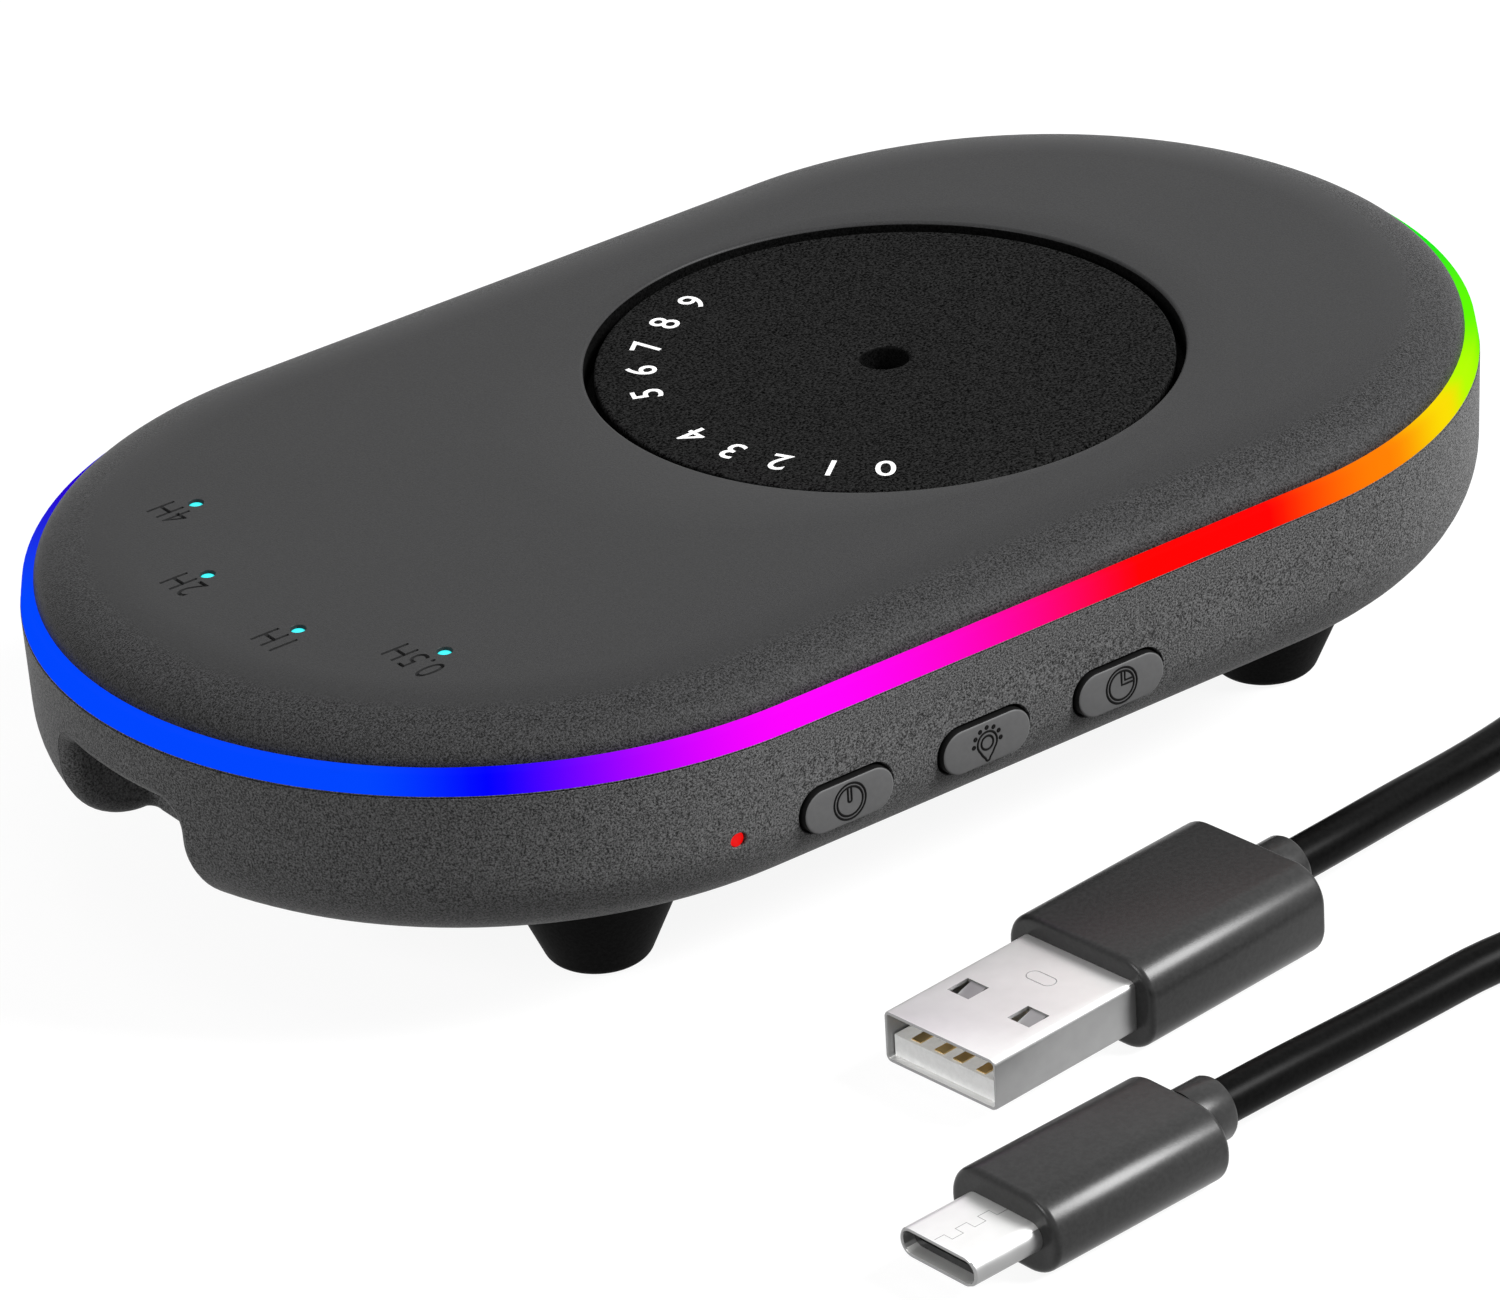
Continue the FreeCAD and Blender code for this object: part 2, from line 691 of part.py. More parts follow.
def bottom_shell():
    lower_radius = case_radius(S.foot_height)
    cavity_radius = case_radius(floor_top) - S.wall
    outer = stadium(
        "bottom_block", lower_radius, S.foot_height, S.seam_height - S.foot_height,
        S.draft_angle, S.belly_radius,
    )
    cavity = stadium(
        "bottom_cavity", cavity_radius, floor_top, S.seam_height - floor_top + 1,
        S.draft_angle, S.belly_radius - S.wall,
    )
    tray = cut("bottom_tray", outer, cavity)

    def boss(label, x, y):
        return rod(label, x, y, floor_top - root, S.case_boss_radius, S.case_boss_top - floor_top + root)

    def post(label, x, y, radius, top):
        return rod(label, x, y, floor_top - root, radius, top - floor_top + root)

    motor_top = floor_top + S.motor_height
    ribs = four_corners(boss, "case_boss", S.foot_x, S.foot_y)
    ribs.append(post("spindle_post", S.table_x, size(0), S.post_radius, S.post_top))
    ribs.append(post("idler_post", idler_x, idler_y, S.idler_post_radius, S.lower_gear_bottom - S.fit_gap))
    ribs.append(
        post("motor_cradle", motor_x, motor_y, S.motor_radius + S.fit_gap + S.cradle_wall,
             floor_top + S.cradle_height)
    )
    for sign, name in ((-1, "a"), (1, "b")):
        ribs.append(
            post(f"clamp_boss_{name}", motor_x, motor_y + sign * S.clamp_ear_reach,
                 S.clamp_ear_width / 2, motor_top)
        )
    for i, (x, y) in enumerate(board_screw_places()):
        ribs.append(post(f"board_boss_{i}", x, y, S.board_boss_radius, S.board_base))
    liner = common("recess_liner", outer_copy(), recess_block("recess_outside", S.recess_wall))
    body = fuse("bottom_ribbed", tray, liner, *ribs)

    def well(label, x, y):
        return rod(label, x, y, S.foot_height - 1, S.well_radius, S.well_depth + 1)

    def screw_way(label, x, y):
        return rod(label, x, y, S.foot_height, S.case_screw_radius + S.fit_gap, S.case_boss_top)

    voids = four_corners(well, "screw_well", S.foot_x, S.foot_y)
    voids += four_corners(screw_way, "screw_way", S.foot_x, S.foot_y)
    voids.append(recess_block("recess_void", size(0)))
    voids.append(
        rod("spindle_bore", S.table_x, 0, S.spindle_bottom - S.post_clearance,
            S.spindle_radius + S.running_gap, S.post_top)
    )
    voids.append(
        rod("idler_pin_hole", idler_x, idler_y, floor_top + 1, S.idler_pin_radius + S.snug_gap, S.post_top)
    )
    voids.append(
        rod("motor_seat", motor_x, motor_y, floor_top, S.motor_radius + S.fit_gap, S.cradle_height + 1)
    )
    for sign, name in ((-1, "a"), (1, "b")):
        voids.append(
            rod(f"clamp_screw_hole_{name}", motor_x, motor_y + sign * S.clamp_ear_reach, floor_top - 1,
                S.board_screw_radius + S.snug_gap, S.motor_height + 2)
        )
    for i, (x, y) in enumerate(board_screw_places()):
        voids.append(
            rod(f"board_screw_hole_{i}", x, y, board_top - S.board_screw_length - S.fit_gap,
                S.board_screw_radius + S.snug_gap, S.board_base)
        )
    for i in range(3):
        voids.append(
            pill(f"button_slot_{i}", button_x(i), -button_face - 1, S.button_height,
                 S.button_half_length, S.button_radius + S.button_gap, S.wall * 2 + 1)
        )
        voids.append(
            pill(f"button_seat_{i}", button_x(i), -inner_wall, S.button_height, S.button_half_length,
                 S.button_radius + S.button_flange + S.fit_gap, S.belly_radius)
        )
    voids.append(
        rod("status_hole", S.status_x, -button_face - 1, S.status_height,
            S.status_radius + S.running_gap, S.wall * 2 + 2, "y")
    )
    socket_radius = S.socket_height / 2 + S.fit_gap
    socket_half = S.socket_half_width - S.socket_height / 2
    socket_z = board_top + S.socket_height / 2
    for sign, name in ((-1, "a"), (1, "b")):
        voids.append(
            rod(f"socket_window_{name}", S.recess_back_x - 1, sign * socket_half, socket_z,
                socket_radius, S.recess_wall + 2, "x")
        )
    voids.append(
        box("socket_window_middle", S.recess_back_x - 1, -socket_half, socket_z - socket_radius,
            S.recess_wall + 2, socket_half * 2, socket_radius * 2)
    )
    return keep(cut("bottom_shell", body, *voids))


def outer_copy():
    """The bottom shell's outer form once more, to trim the recess liner to it."""
    return stadium(
        "liner_limit", case_radius(S.foot_height), S.foot_height, S.seam_height - S.foot_height,
        S.draft_angle, S.belly_radius,
    )


def board_screw_places():
    return [
        (S.board_back_x + S.board_screw_inset_x, -S.board_half_width + S.board_screw_inset_y),
        (S.board_back_x + S.board_screw_inset_x, S.board_half_width - S.board_screw_inset_y),
        (S.board_rear_x - S.board_screw_inset_x * 2, S.board_half_width - S.board_screw_inset_y),
        (S.board_front_x - S.board_screw_inset_y, S.board_middle_y - S.board_screw_inset_y),
    ]


# ---------------------------------------------------------------- top shell

def crown_block():
    """The top shell's outer form: flat top, edge falling on a quarter ellipse to a flat rim.

    One half section is turned about each round end's centre, and a full section is run between them.
    """
    low, high = float(ring_top), float(top_face)
    radius, run = float(crown_radius), float(S.crown_run)
    half = float(S.half_straight)
    centre = Vector(radius - run, 0, low)
    major = Vector(radius, 0, low)
    minor = Vector(radius - run, 0, high)
    if run >= high - low:
        ellipse = Part.Ellipse(major, minor, centre)
        arc = ellipse.toShape(0, math.pi / 2)
    else:
        ellipse = Part.Ellipse(minor, Vector(centre.x - run, 0, low), centre)
        arc = ellipse.toShape(-math.pi / 2, 0)
    section = Part.Face(
        Part.Wire(
            Part.__sortEdges__(
                [
                    Part.makeLine(Vector(0, 0, low), major),
                    arc,
                    Part.makeLine(minor, Vector(0, 0, high)),
                    Part.makeLine(Vector(0, 0, high), Vector(0, 0, low)),
                ]
            )
        )
    )
    end = section.revolve(Vector(), Vector(0, 0, 1), 360)
    side = section.copy()
    side.rotate(Vector(), Vector(0, 0, 1), 90)
    side.translate(Vector(-half, 0, 0))
    side = side.extrude(Vector(2 * half, 0, 0))
    other_side = side.copy()
    other_side.rotate(Vector(), Vector(0, 0, 1), 180)
    left, right = end.copy(), end.copy()
    left.translate(Vector(-half, 0, 0))
    right.translate(Vector(half, 0, 0))
    return solid("crown", left.multiFuse([right, side, other_side]).removeSplitter())


def top_shell():
    lip_base = ring_top - S.lip_drop
    plate = cut(
        "top_plate", crown_block(),
        stadium("top_cavity", lip_radius, ring_top - 1, plate_base - ring_top + 1),
    )
    lip = stadium_band(
        "top_lip", lip_radius, lip_radius - S.lip_wall, lip_base, plate_base - lip_base + root
    )
    cup = rod("well_cup", S.table_x, 0, well_floor_base, S.table_well_radius + S.well_wall,
              plate_base - well_floor_base + root)
    bush_boss = rod("bush_boss", S.table_x, 0, S.bush_bottom - S.fit_gap, S.bush_boss_radius,
                    well_floor_base - S.bush_bottom + S.fit_gap + root)

    def boss(label, x, y):
        base = S.case_boss_top + S.fit_gap
        return rod(label, x, y, base, S.lid_boss_radius, plate_base - base + root)

    def pilot(label, x, y):
        return rod(label, x, y, S.case_boss_top, S.case_screw_radius + S.snug_gap,
                   case_seat + S.case_screw_length + S.fit_gap - S.case_boss_top)

    stakes = []
    for sign, name in ((-1, "a"), (1, "b")):
        x, y = light_stake(sign)
        board_top_z = S.light_board_base + S.light_board_thick
        stakes.append(rod(f"light_post_{name}", x, y, board_top_z, 1.5, plate_base - board_top_z + root))
        stakes.append(rod(f"light_stake_{name}", x, y, S.light_board_base - 0.4, 0.7, 2))
    form = fuse(
        "top_form", plate, lip, cup, bush_boss, *stakes,
        *four_corners(boss, "lid_boss", S.foot_x, S.foot_y),
    )
    voids = four_corners(pilot, "lid_pilot", S.foot_x, S.foot_y)
    voids.append(rod("table_well", S.table_x, 0, well_floor_top, S.table_well_radius, 10))
    voids.append(
        rod("bush_hole", S.table_x, 0, S.bush_bottom - 2,
            S.hub_radius + S.running_gap + S.bush_wall + S.snug_gap, 10)
    )
    for i in range(4):
        x, y = light_place(i)
        voids.append(rod(f"light_hole_{i}", x, y, plate_base - 1, S.light_radius + S.running_gap, 5))
    return keep(cut("top_shell", form, *voids))


def light_stake(sign):
    """Moulded pins that hold the timer lights' board."""
    return S.light_board_x + S.light_post_inset, sign * S.light_board_half_width * 0.72


# ---------------------------------------------------------------- light ring and LED strip

def light_ring():
    inner = lip_radius + S.fit_gap
    face = S.end_radius - S.ring_inset
    band = cut(
        "ring_band",
        stadium("ring_band_outer", face, S.seam_height, S.ring_height, -S.ring_lean),
        stadium("ring_band_inner", inner, S.seam_height, S.ring_height),
    )
    lip_outer = inner + S.ring_lip_wall
    lip = stadium_band(
        "ring_lip", lip_outer, inner, S.seam_height - S.ring_lip_drop, S.ring_lip_drop + root
    )
    return keep(fuse("light_ring", band, lip))


def turned_led(label, x, y, z, thin, angle):
    obj = add("Part::Box", label)
    bind(obj, "Length", thin)
    bind(obj, "Width", S.led_long)
    bind(obj, "Height", S.led_wide)
    bind(obj, "Placement.Rotation.Angle", angle)
    place(obj, x, y, z)
    return obj


def led_strip():
    band = stadium_band(
        "strip_band", S.strip_radius + S.strip_thick, S.strip_radius, S.strip_base, S.strip_width
    )
    gap = box("strip_gap", S.half_straight + S.strip_radius - 3, -S.strip_break / 2, S.strip_base - 1,
              6, S.strip_break, S.strip_width + 2)
    keep(cut("led_strip", band, gap))
    face = S.strip_radius + S.strip_thick + S.snug_gap
    z = S.strip_base + (S.strip_width - S.led_wide) / 2
    leds = []
    for side in (-1, 1):
        for i in range(3):
            x = (i - 1) * S.led_pitch
            y = face if side > 0 else -face - S.led_thick
            leds.append(
                box(f"led_side_{side + 1}_{i}", x - S.led_long / 2, y, z, S.led_long, S.led_thick, S.led_wide)
            )
    # on a round end the flat back of an LED stands off the bent strip by the arc's rise
    thin = S.led_thick - 0.15
    for side in (-1, 1):
        for i in range(6):
            start = 0 if side > 0 else 180
            angle = start + (i - 2.5) * S.led_fan
            x = side * S.half_straight + (face + 0.05) * cosine(angle) + S.led_long / 2 * sine(angle)
            y = (face + 0.05) * sine(angle) - S.led_long / 2 * cosine(angle)
            leds.append(turned_led(f"led_end_{side + 1}_{i}", x, y, z, thin, angle))
    keep(group("rgb_leds", *leds))
    back = S.strip_radius + S.strip_thick - S.running_gap
    upright = box("tail_upright", tail_x, -back, tail_height, S.tail_width, S.tail_thick,
                  S.strip_base - tail_height)
    foot = box("tail_foot", tail_x, -back, tail_height, S.tail_width, back + tail_end, S.tail_thick)
    keep(fuse("strip_tail", upright, foot))


# ---------------------------------------------------------------- feet and case screws

def feet():
    """Conical rubber feet; each one's peg plugs the well of a case screw."""
    names = ("foot_front_left", "foot_front_right", "foot_back_right", "foot_back_left")
    signs = ((-1, -1), (1, -1), (1, 1), (-1, 1))
    for name, (sx, sy) in zip(names, signs):
        def draw(body, label):
            return circle_sketch(body, label, S.foot_tip_radius, size(0))

        cone = padded(name + "_cone", draw, S.foot_height, S.foot_lean, S.foot_round)
        peg = rod(name + "_peg", 0, 0, S.foot_height - root, S.well_radius - S.running_gap,
                  S.peg_length + root)
        foot = fuse(name, cone, peg)
        place(foot, sx * S.foot_x, sy * S.foot_y, 0)
        keep(foot)


def case_screws():
    def make(label, x, y):
        return screw(label, x, y, case_seat, S.case_head_radius, S.case_head_height,
                     S.case_screw_radius, S.case_screw_length, head_up=False)

    keep(group("case_screws", *four_corners(make, "case_screw", S.foot_x, S.foot_y)))


# ---------------------------------------------------------------- turntable and gear train

def gear_face(teeth, turn):
    """The outline of an involute spur gear; turn is the angle of one tooth's middle, in radians."""
    teeth = int(round(float(teeth)))
    module = float(S.gear_module)
    pressure = math.radians(20)
    pitch = module * teeth / 2
    base = pitch * math.cos(pressure)
    tip = pitch + module
    foot = pitch - 1.25 * module
    start = max(base, foot)

    def involute(radius):
        angle = math.acos(min(1.0, base / radius))
        return math.tan(angle) - angle

    half_tooth = math.pi / (2 * teeth) - float(S.backlash) / (4 * pitch)
    flank = []
    for i in range(4):
        radius = start + (tip - start) * i / 3
        flank.append((radius, half_tooth + involute(pitch) - involute(radius)))
    profile = [(foot, -flank[0][1])] if foot < start else []
    profile += [(r, -a) for r, a in flank] + [(r, a) for r, a in reversed(flank)]
    profile += [(foot, flank[0][1])] if foot < start else []
    points = []
    for tooth in range(teeth):
        middle = turn + 2 * math.pi * tooth / teeth
        for radius, angle in profile:
            points.append(Vector(radius * math.cos(middle + angle), radius * math.sin(middle + angle), 0))
    points.append(points[0])
    return Part.Face(Part.makePolygon(points))


def gear(teeth, turn, x, y, z, face, bore):
    blank = gear_face(teeth, turn).extrude(Vector(0, 0, float(face)))
    hole = Part.makeCylinder(float(bore), float(face) + 2, Vector(0, 0, -1))
    shape = blank.cut(hole)
    shape.translate(Vector(float(x), float(y), float(z)))
    return shape


def gears():
    """Turntable gear, compound idler and motor pinion, with a tooth in a gap at each mesh."""
    to_idler = math.radians(float(S.idler_bearing_angle))
    to_motor = math.radians(float(S.motor_bearing_angle))
    small, big = float(S.idler_small_teeth), float(S.idler_big_teeth)
    table = gear(S.table_teeth, to_idler, S.table_x, 0, S.upper_gear_bottom, S.upper_gear_face,
                 S.spindle_radius + S.snug_gap)
    for i in range(6):
        angle = math.pi * i / 3
        reach = float(S.gear_module * S.table_teeth) * 0.31
        centre = Vector(
            float(S.table_x) + reach * math.cos(angle), reach * math.sin(angle), float(S.upper_gear_bottom) - 1
        )
        table = table.cut(Part.makeCylinder(reach * 0.32, float(S.upper_gear_face) + 2, centre))
    keep(solid("turntable_gear", table))
    bore = S.idler_pin_radius + S.running_gap
    upper = gear(S.idler_small_teeth, to_idler + math.pi + math.pi / small, idler_x, idler_y,
                 S.upper_gear_bottom, S.upper_gear_face, bore)
    lower = gear(S.idler_big_teeth, to_motor, idler_x, idler_y,
                 S.lower_gear_bottom, S.lower_gear_face, bore)
    between = S.upper_gear_bottom - S.lower_gear_bottom - S.lower_gear_face
    sleeve_radius = float(S.gear_module) * (small / 2 - 1.25)
    sleeve = Part.makeCylinder(sleeve_radius, float(between) + 0.2)
    sleeve = sleeve.cut(Part.makeCylinder(float(bore), float(between) + 1))
    sleeve.translate(
        Vector(float(idler_x), float(idler_y), float(S.lower_gear_bottom + S.lower_gear_face) - 0.1)
    )
    keep(solid("idler_gear", upper.multiFuse([lower, sleeve]).removeSplitter()))
    pinion = float(S.pinion_teeth)
    keep(
        solid(
            "motor_pinion",
            gear(S.pinion_teeth, to_motor + math.pi + math.pi / pinion, motor_x, motor_y,
                 S.lower_gear_bottom, S.lower_gear_face, S.motor_shaft_radius + S.snug_gap),
        )
    )


def turntable():
    collar_base = well_floor_top + S.bush_flange + S.running_gap
    disc = fuse(
        "table_form",
        rod("table_plate", S.table_x, 0, table_base, S.table_well_radius - S.table_gap, S.table_thick),
        rod("table_collar", S.table_x, 0, collar_base, S.hub_collar_radius, table_base - collar_base + root),
        rod("table_hub", S.table_x, 0, S.hub_bottom, S.hub_radius, table_base - S.hub_bottom + root),
    )
    keep(
        cut(
            "turntable_disc", disc,
            rod("table_hole", S.table_x, 0, S.hub_hole_floor, S.hub_hole_radius, 10),
            rod("table_screw_way", S.table_x, 0, S.hub_bottom - 1,
                S.table_screw_radius + S.running_gap, 10),
            rod("table_spindle_bore", S.table_x, 0, S.hub_bottom - 1,
                S.spindle_radius + S.snug_gap, S.spindle_top - S.hub_bottom + 1 + S.snug_gap),
        )
    )
    bore = S.hub_radius + S.running_gap
    bush_outer = bore + S.bush_wall
    keep(
        cut(
            "turntable_bush",
            fuse(
                "bush_form",
                rod("bush_sleeve", S.table_x, 0, S.bush_bottom, bush_outer, well_floor_top - S.bush_bottom),
                rod("bush_flange_disc", S.table_x, 0, well_floor_top, bush_outer + 0.8, S.bush_flange),
            ),
            rod("bush_bore", S.table_x, 0, S.bush_bottom - 1, bore, 10),
        )
    )
    keep(
        cut(
            "turntable_spindle",
            rod("spindle_bar", S.table_x, 0, S.spindle_bottom, S.spindle_radius,
                S.spindle_top - S.spindle_bottom),
            rod("spindle_thread", S.table_x, 0, S.table_screw_bottom - S.fit_gap,
                S.table_screw_radius + S.snug_gap, 10),
        )
    )
    keep(
        screw("turntable_screw", S.table_x, size(0), S.hub_hole_floor, S.table_head_radius,
              S.table_head_height, S.table_screw_radius, S.hub_hole_floor - S.table_screw_bottom)
    )
    keep(
        rod("idler_pin", idler_x, idler_y, floor_top + 1.2, S.idler_pin_radius,
            S.idler_pin_top - floor_top - 1.2)
    )


# ---------------------------------------------------------------- motor

def motor():
    top = floor_top + S.motor_height
    shaft_top = S.lower_gear_bottom + S.lower_gear_face
    keep(
        cut(
            "motor_can",
            rod("can_body", motor_x, motor_y, floor_top, S.motor_radius, S.motor_height),
            rod("can_bore", motor_x, motor_y, floor_top + 0.8, S.motor_shaft_radius + S.running_gap, 10),
        )
    )
    keep(
        rod("motor_shaft", motor_x, motor_y, floor_top + 1, S.motor_shaft_radius,
            shaft_top - floor_top - 1)
    )
    ear = S.clamp_ear_width
    plate = fuse(
        "clamp_form",
        rod("clamp_ring", motor_x, motor_y, top, S.motor_radius, S.clamp_thick),
        box("clamp_strap", motor_x - ear / 2, motor_y - S.clamp_ear_reach, top,
            ear, S.clamp_ear_reach * 2, S.clamp_thick),
        rod("clamp_ear_a", motor_x, motor_y - S.clamp_ear_reach, top, ear / 2, S.clamp_thick),
        rod("clamp_ear_b", motor_x, motor_y + S.clamp_ear_reach, top, ear / 2, S.clamp_thick),
    )
    holes = [rod("clamp_window", motor_x, motor_y, top - 1, S.clamp_hole_radius, 3)]
    screws = []
    for sign, name in ((-1, "a"), (1, "b")):
        y = motor_y + sign * S.clamp_ear_reach
        holes.append(
            rod(f"clamp_way_{name}", motor_x, y, top - 1, S.board_screw_radius + S.fit_gap, 3)
        )
        screws.append(
            screw(f"motor_screw_{name}", motor_x, y, top + S.clamp_thick, S.board_head_radius,
                  S.board_head_height, S.board_screw_radius, 5.0)
        )
    keep(cut("motor_clamp", plate, *holes))
    keep(group("motor_screws", *screws))
    leads = []
    for i, offset in enumerate((3.8, 1.8)):
        # each lead stops against the can's round side
        side = root_of(S.motor_radius, offset - S.lead_radius)
        reach = motor_x - lead_start - side - S.running_gap
        leads.append(
            rod(f"motor_lead_{i}", lead_start, motor_y - offset, board_top + S.lead_height,
                S.lead_radius, reach, "x")
        )
    keep(group("motor_leads", *leads))


# ---------------------------------------------------------------- buttons

def buttons():
    flange_front = inner_wall - S.fit_gap
    stem_end = S.switch_front + S.plunger_reach
    for i, name in enumerate(("power", "light", "timer")):
        x = button_x(i)
        z = S.button_height
        cap = pill(f"{name}_cap", x, -button_face, z, S.button_half_length, S.button_radius,
                   button_face - flange_front + root)
        flange = pill(f"{name}_flange", x, -flange_front, z, S.button_half_length,
                      S.button_radius + S.button_flange, S.button_flange_thick)
        stem_start = flange_front - S.button_flange_thick + root
        stem = rod(f"{name}_stem", x, -stem_start, z, S.button_stem_radius, stem_start - stem_end, "y")
        keep(fuse(f"{name}_button", cap, flange, stem))
        keep(
            rod(f"{name}_plunger", x, -stem_end, z, S.plunger_radius, S.plunger_length, "y")
        )
        keep(
            cut(
                f"{name}_switch",
                box(f"{name}_switch_case", x - S.switch_width / 2, -S.switch_front, board_top,
                    S.switch_width, S.switch_depth, S.switch_height),
                rod(f"{name}_switch_bore", x, -S.switch_front - 1, z,
                    S.plunger_radius + S.running_gap,
                    S.plunger_length - S.plunger_reach + S.button_travel + S.fit_gap + 1, "y"),
            )
        )


# ---------------------------------------------------------------- boards and what is on them

def main_board():
    board = fuse(
        "board_form",
        box("board_rear", S.board_back_x, -S.board_half_width, S.board_base,
            S.board_rear_x - S.board_back_x, S.board_half_width * 2, S.board_thick),
        box("board_front", board_corner_x, S.board_front_y, S.board_base,
            S.board_front_x - board_corner_x, S.board_middle_y - S.board_front_y, S.board_thick),
        box("board_neck", S.board_back_x, -S.board_half_width, S.board_base,
            S.board_front_x - S.board_back_x, S.board_middle_y + S.board_half_width, S.board_thick),
        box("board_tab", S.status_x - S.status_barrel_radius - 0.3, S.board_front_y + 1.4, S.board_base,
            board_corner_x - S.status_x + S.status_barrel_radius * 2, S.status_barrel_length, S.board_thick),
    )
    holes = [
        rod(f"board_hole_{i}", x, y, S.board_base - 1, S.board_screw_radius + S.fit_gap, 4)
        for i, (x, y) in enumerate(board_screw_places())
    ]
    keep(cut("main_board", board, *holes))
    screws = [
        screw(f"board_screw_{i}", x, y, board_top, S.board_head_radius, S.board_head_height,
              S.board_screw_radius, S.board_screw_length)
        for i, (x, y) in enumerate(board_screw_places())
    ]
    keep(group("board_screws", *screws))
    chip_x = ribbon_x + S.tail_connector_width / 2 + S.connector_gap
    keep(
        group(
            "board_chips",
            box("control_chip", chip_x, -S.control_chip_length - S.connector_gap, board_top,
                S.control_chip_width, S.control_chip_length, S.chip_thick),
            box("driver_chip", chip_x, S.connector_gap * 2, board_top,
                S.driver_chip_width, S.driver_chip_length, S.chip_thick),
        )
    )
    keep(
        rod("smoothing_capacitor", board_corner_x + S.capacitor_radius * 2,
            S.board_middle_y - S.capacitor_radius * 2, board_top, S.capacitor_radius, S.capacitor_height)
    )
    keep(
        group(
            "board_connectors",
            box("motor_connector", lead_start - S.connector_depth, motor_y - S.connector_width - 0.4, board_top,
                S.connector_depth, S.connector_width, S.connector_height),
            box("ribbon_connector", ribbon_x - S.tail_connector_width / 2, -S.ribbon_connector_width / 2, board_top,
                S.tail_connector_width, S.ribbon_connector_width, S.ribbon_connector_height),
            box("strip_connector", tail_x - S.fit_gap, tail_end, board_top,
                S.tail_connector_width, S.tail_connector_depth, S.connector_height),
        )
    )


def power_socket():
    """A USB-C receptacle, its mouth level with the back of the cable recess."""
    z = board_top + S.socket_height / 2
    half = S.socket_half_width - S.socket_height / 2

    def bar(label, x, radius, length):
        return fuse(
            label,
            box(label + "_middle", x, -half, z - radius, length, half * 2, radius * 2),
            rod(label + "_a", x, -half, z, radius, length, "x"),
            rod(label + "_b", x, half, z, radius, length, "x"),
        )

    radius = S.socket_height / 2
    keep(
        cut(
            "power_socket",
            bar("socket_block", S.recess_back_x, radius, S.socket_depth),
            bar("socket_hollow", S.recess_back_x - 1, radius - S.socket_wall, S.socket_depth),
        )
    )
    keep(
        box("power_socket_tongue", S.recess_back_x + 0.8, -half - 0.6, z - 0.35,
            S.socket_depth - 1.8, half * 2 + 1.2, 0.7)
    )


def status_light():
    """A small red LED: a clear nose in the case wall, its body behind it and two bent legs to the board."""
    end_centre = -S.half_straight
    out = case_radius(S.status_height)
    across = S.status_x - end_centre
    front = root_of(out, across) - S.status_sink
    body_front = front - S.wall - 0.4
    leg_y = S.status_barrel_length - body_front
    nose = rod("status_nose", S.status_x, -front, S.status_height, S.status_radius, S.wall + 0.6, "y")
    lens = rod("status_barrel", S.status_x, -body_front, S.status_height, S.status_barrel_radius,
               S.status_barrel_length, "y")
    legs = []
    for i, side in enumerate((-1.75, 0.75)):
        legs.append(
            box(f"status_leg_{i}", S.status_x + side * S.status_leg, leg_y - S.status_leg / 2, board_top,
                S.status_leg, S.status_leg * 1.5, S.status_height - board_top)
        )
    keep(fuse("status_led", nose, lens, *legs))


def timer_lights():
    names = ("light_pipe_4", "light_pipe_2", "light_pipe_1", "light_pipe_half")
    leds = []
    board_top_z = S.light_board_base + S.light_board_thick
    for i, name in enumerate(names):
        x, y = light_place(i)
        pipe_base = board_top_z + S.timer_led_height + S.fit_gap
        keep(
            fuse(
                name,
                rod(name + "_stem", x, y, pipe_base, S.light_radius, top_face - S.light_sink - pipe_base),
                rod(name + "_flange", x, y, plate_base - S.light_flange_height - S.light_sink,
                    S.light_radius + S.light_flange, S.light_flange_height),
            )
        )
        leds.append(
            box(f"timer_led_{i}", x - S.timer_led_length / 2, y - S.timer_led_width / 2, board_top_z,
                S.timer_led_length, S.timer_led_width, S.timer_led_height)
        )
    keep(group("timer_leds", *leds))
    holes = []
    for sign, name in ((-1, "a"), (1, "b")):
        x, y = light_stake(sign)
        holes.append(rod(f"light_board_hole_{name}", x, y, S.light_board_base - 1, 0.75, 4))
    keep(
        cut(
            "indicator_board",
            box("indicator_blank", S.light_board_x, -S.light_board_half_width, S.light_board_base,
                S.light_board_length, S.light_board_half_width * 2, S.light_board_thick),
            *holes,
        )
    )
    ribbon_base = board_top + S.ribbon_connector_height
    keep(
        box("indicator_ribbon", ribbon_x, -S.ribbon_width / 2, ribbon_base,
            S.ribbon_thick, S.ribbon_width, S.light_board_base - ribbon_base)
    )


# ---------------------------------------------------------------- cable

def turned(obj, x, y, z, angle):
    """Lays a piece that was drawn along +X at its place on the desk."""
    obj.Placement = Placement(Vector(float(x), float(y), float(z)), Rotation(Vector(0, 0, 1), float(angle)))
    place(obj, x, y, z)
    return obj


def rounded_bar(label, x, length, width, height, radius):
    """A bar along +X with its four long edges rounded."""
    half_y, half_z = width / 2, height / 2
    pieces = [
        box(label + "_flat", x, radius - half_y, -half_z, length, width - radius * 2, height),
        box(label + "_tall", x, -half_y, radius - half_z, length, width, height - radius * 2),
    ]
    for i, (sy, sz) in enumerate(((-1, -1), (1, -1), (1, 1), (-1, 1))):
        pieces.append(
            rod(f"{label}_edge_{i}", x, sy * (half_y - radius), sz * (half_z - radius), radius, length, "x")
        )
    return fuse(label, *pieces)


def lead_out(place_x, place_y, place_z, turn, reach):
    """Where the cable leaves a plug's strain relief, and a point straight on from there."""
    angle = math.radians(float(turn))
    heading = Vector(math.cos(angle), math.sin(angle), 0)
    end = Vector(float(place_x), float(place_y), float(place_z)) + heading * float(reach)
    return end, end + heading * 6.0


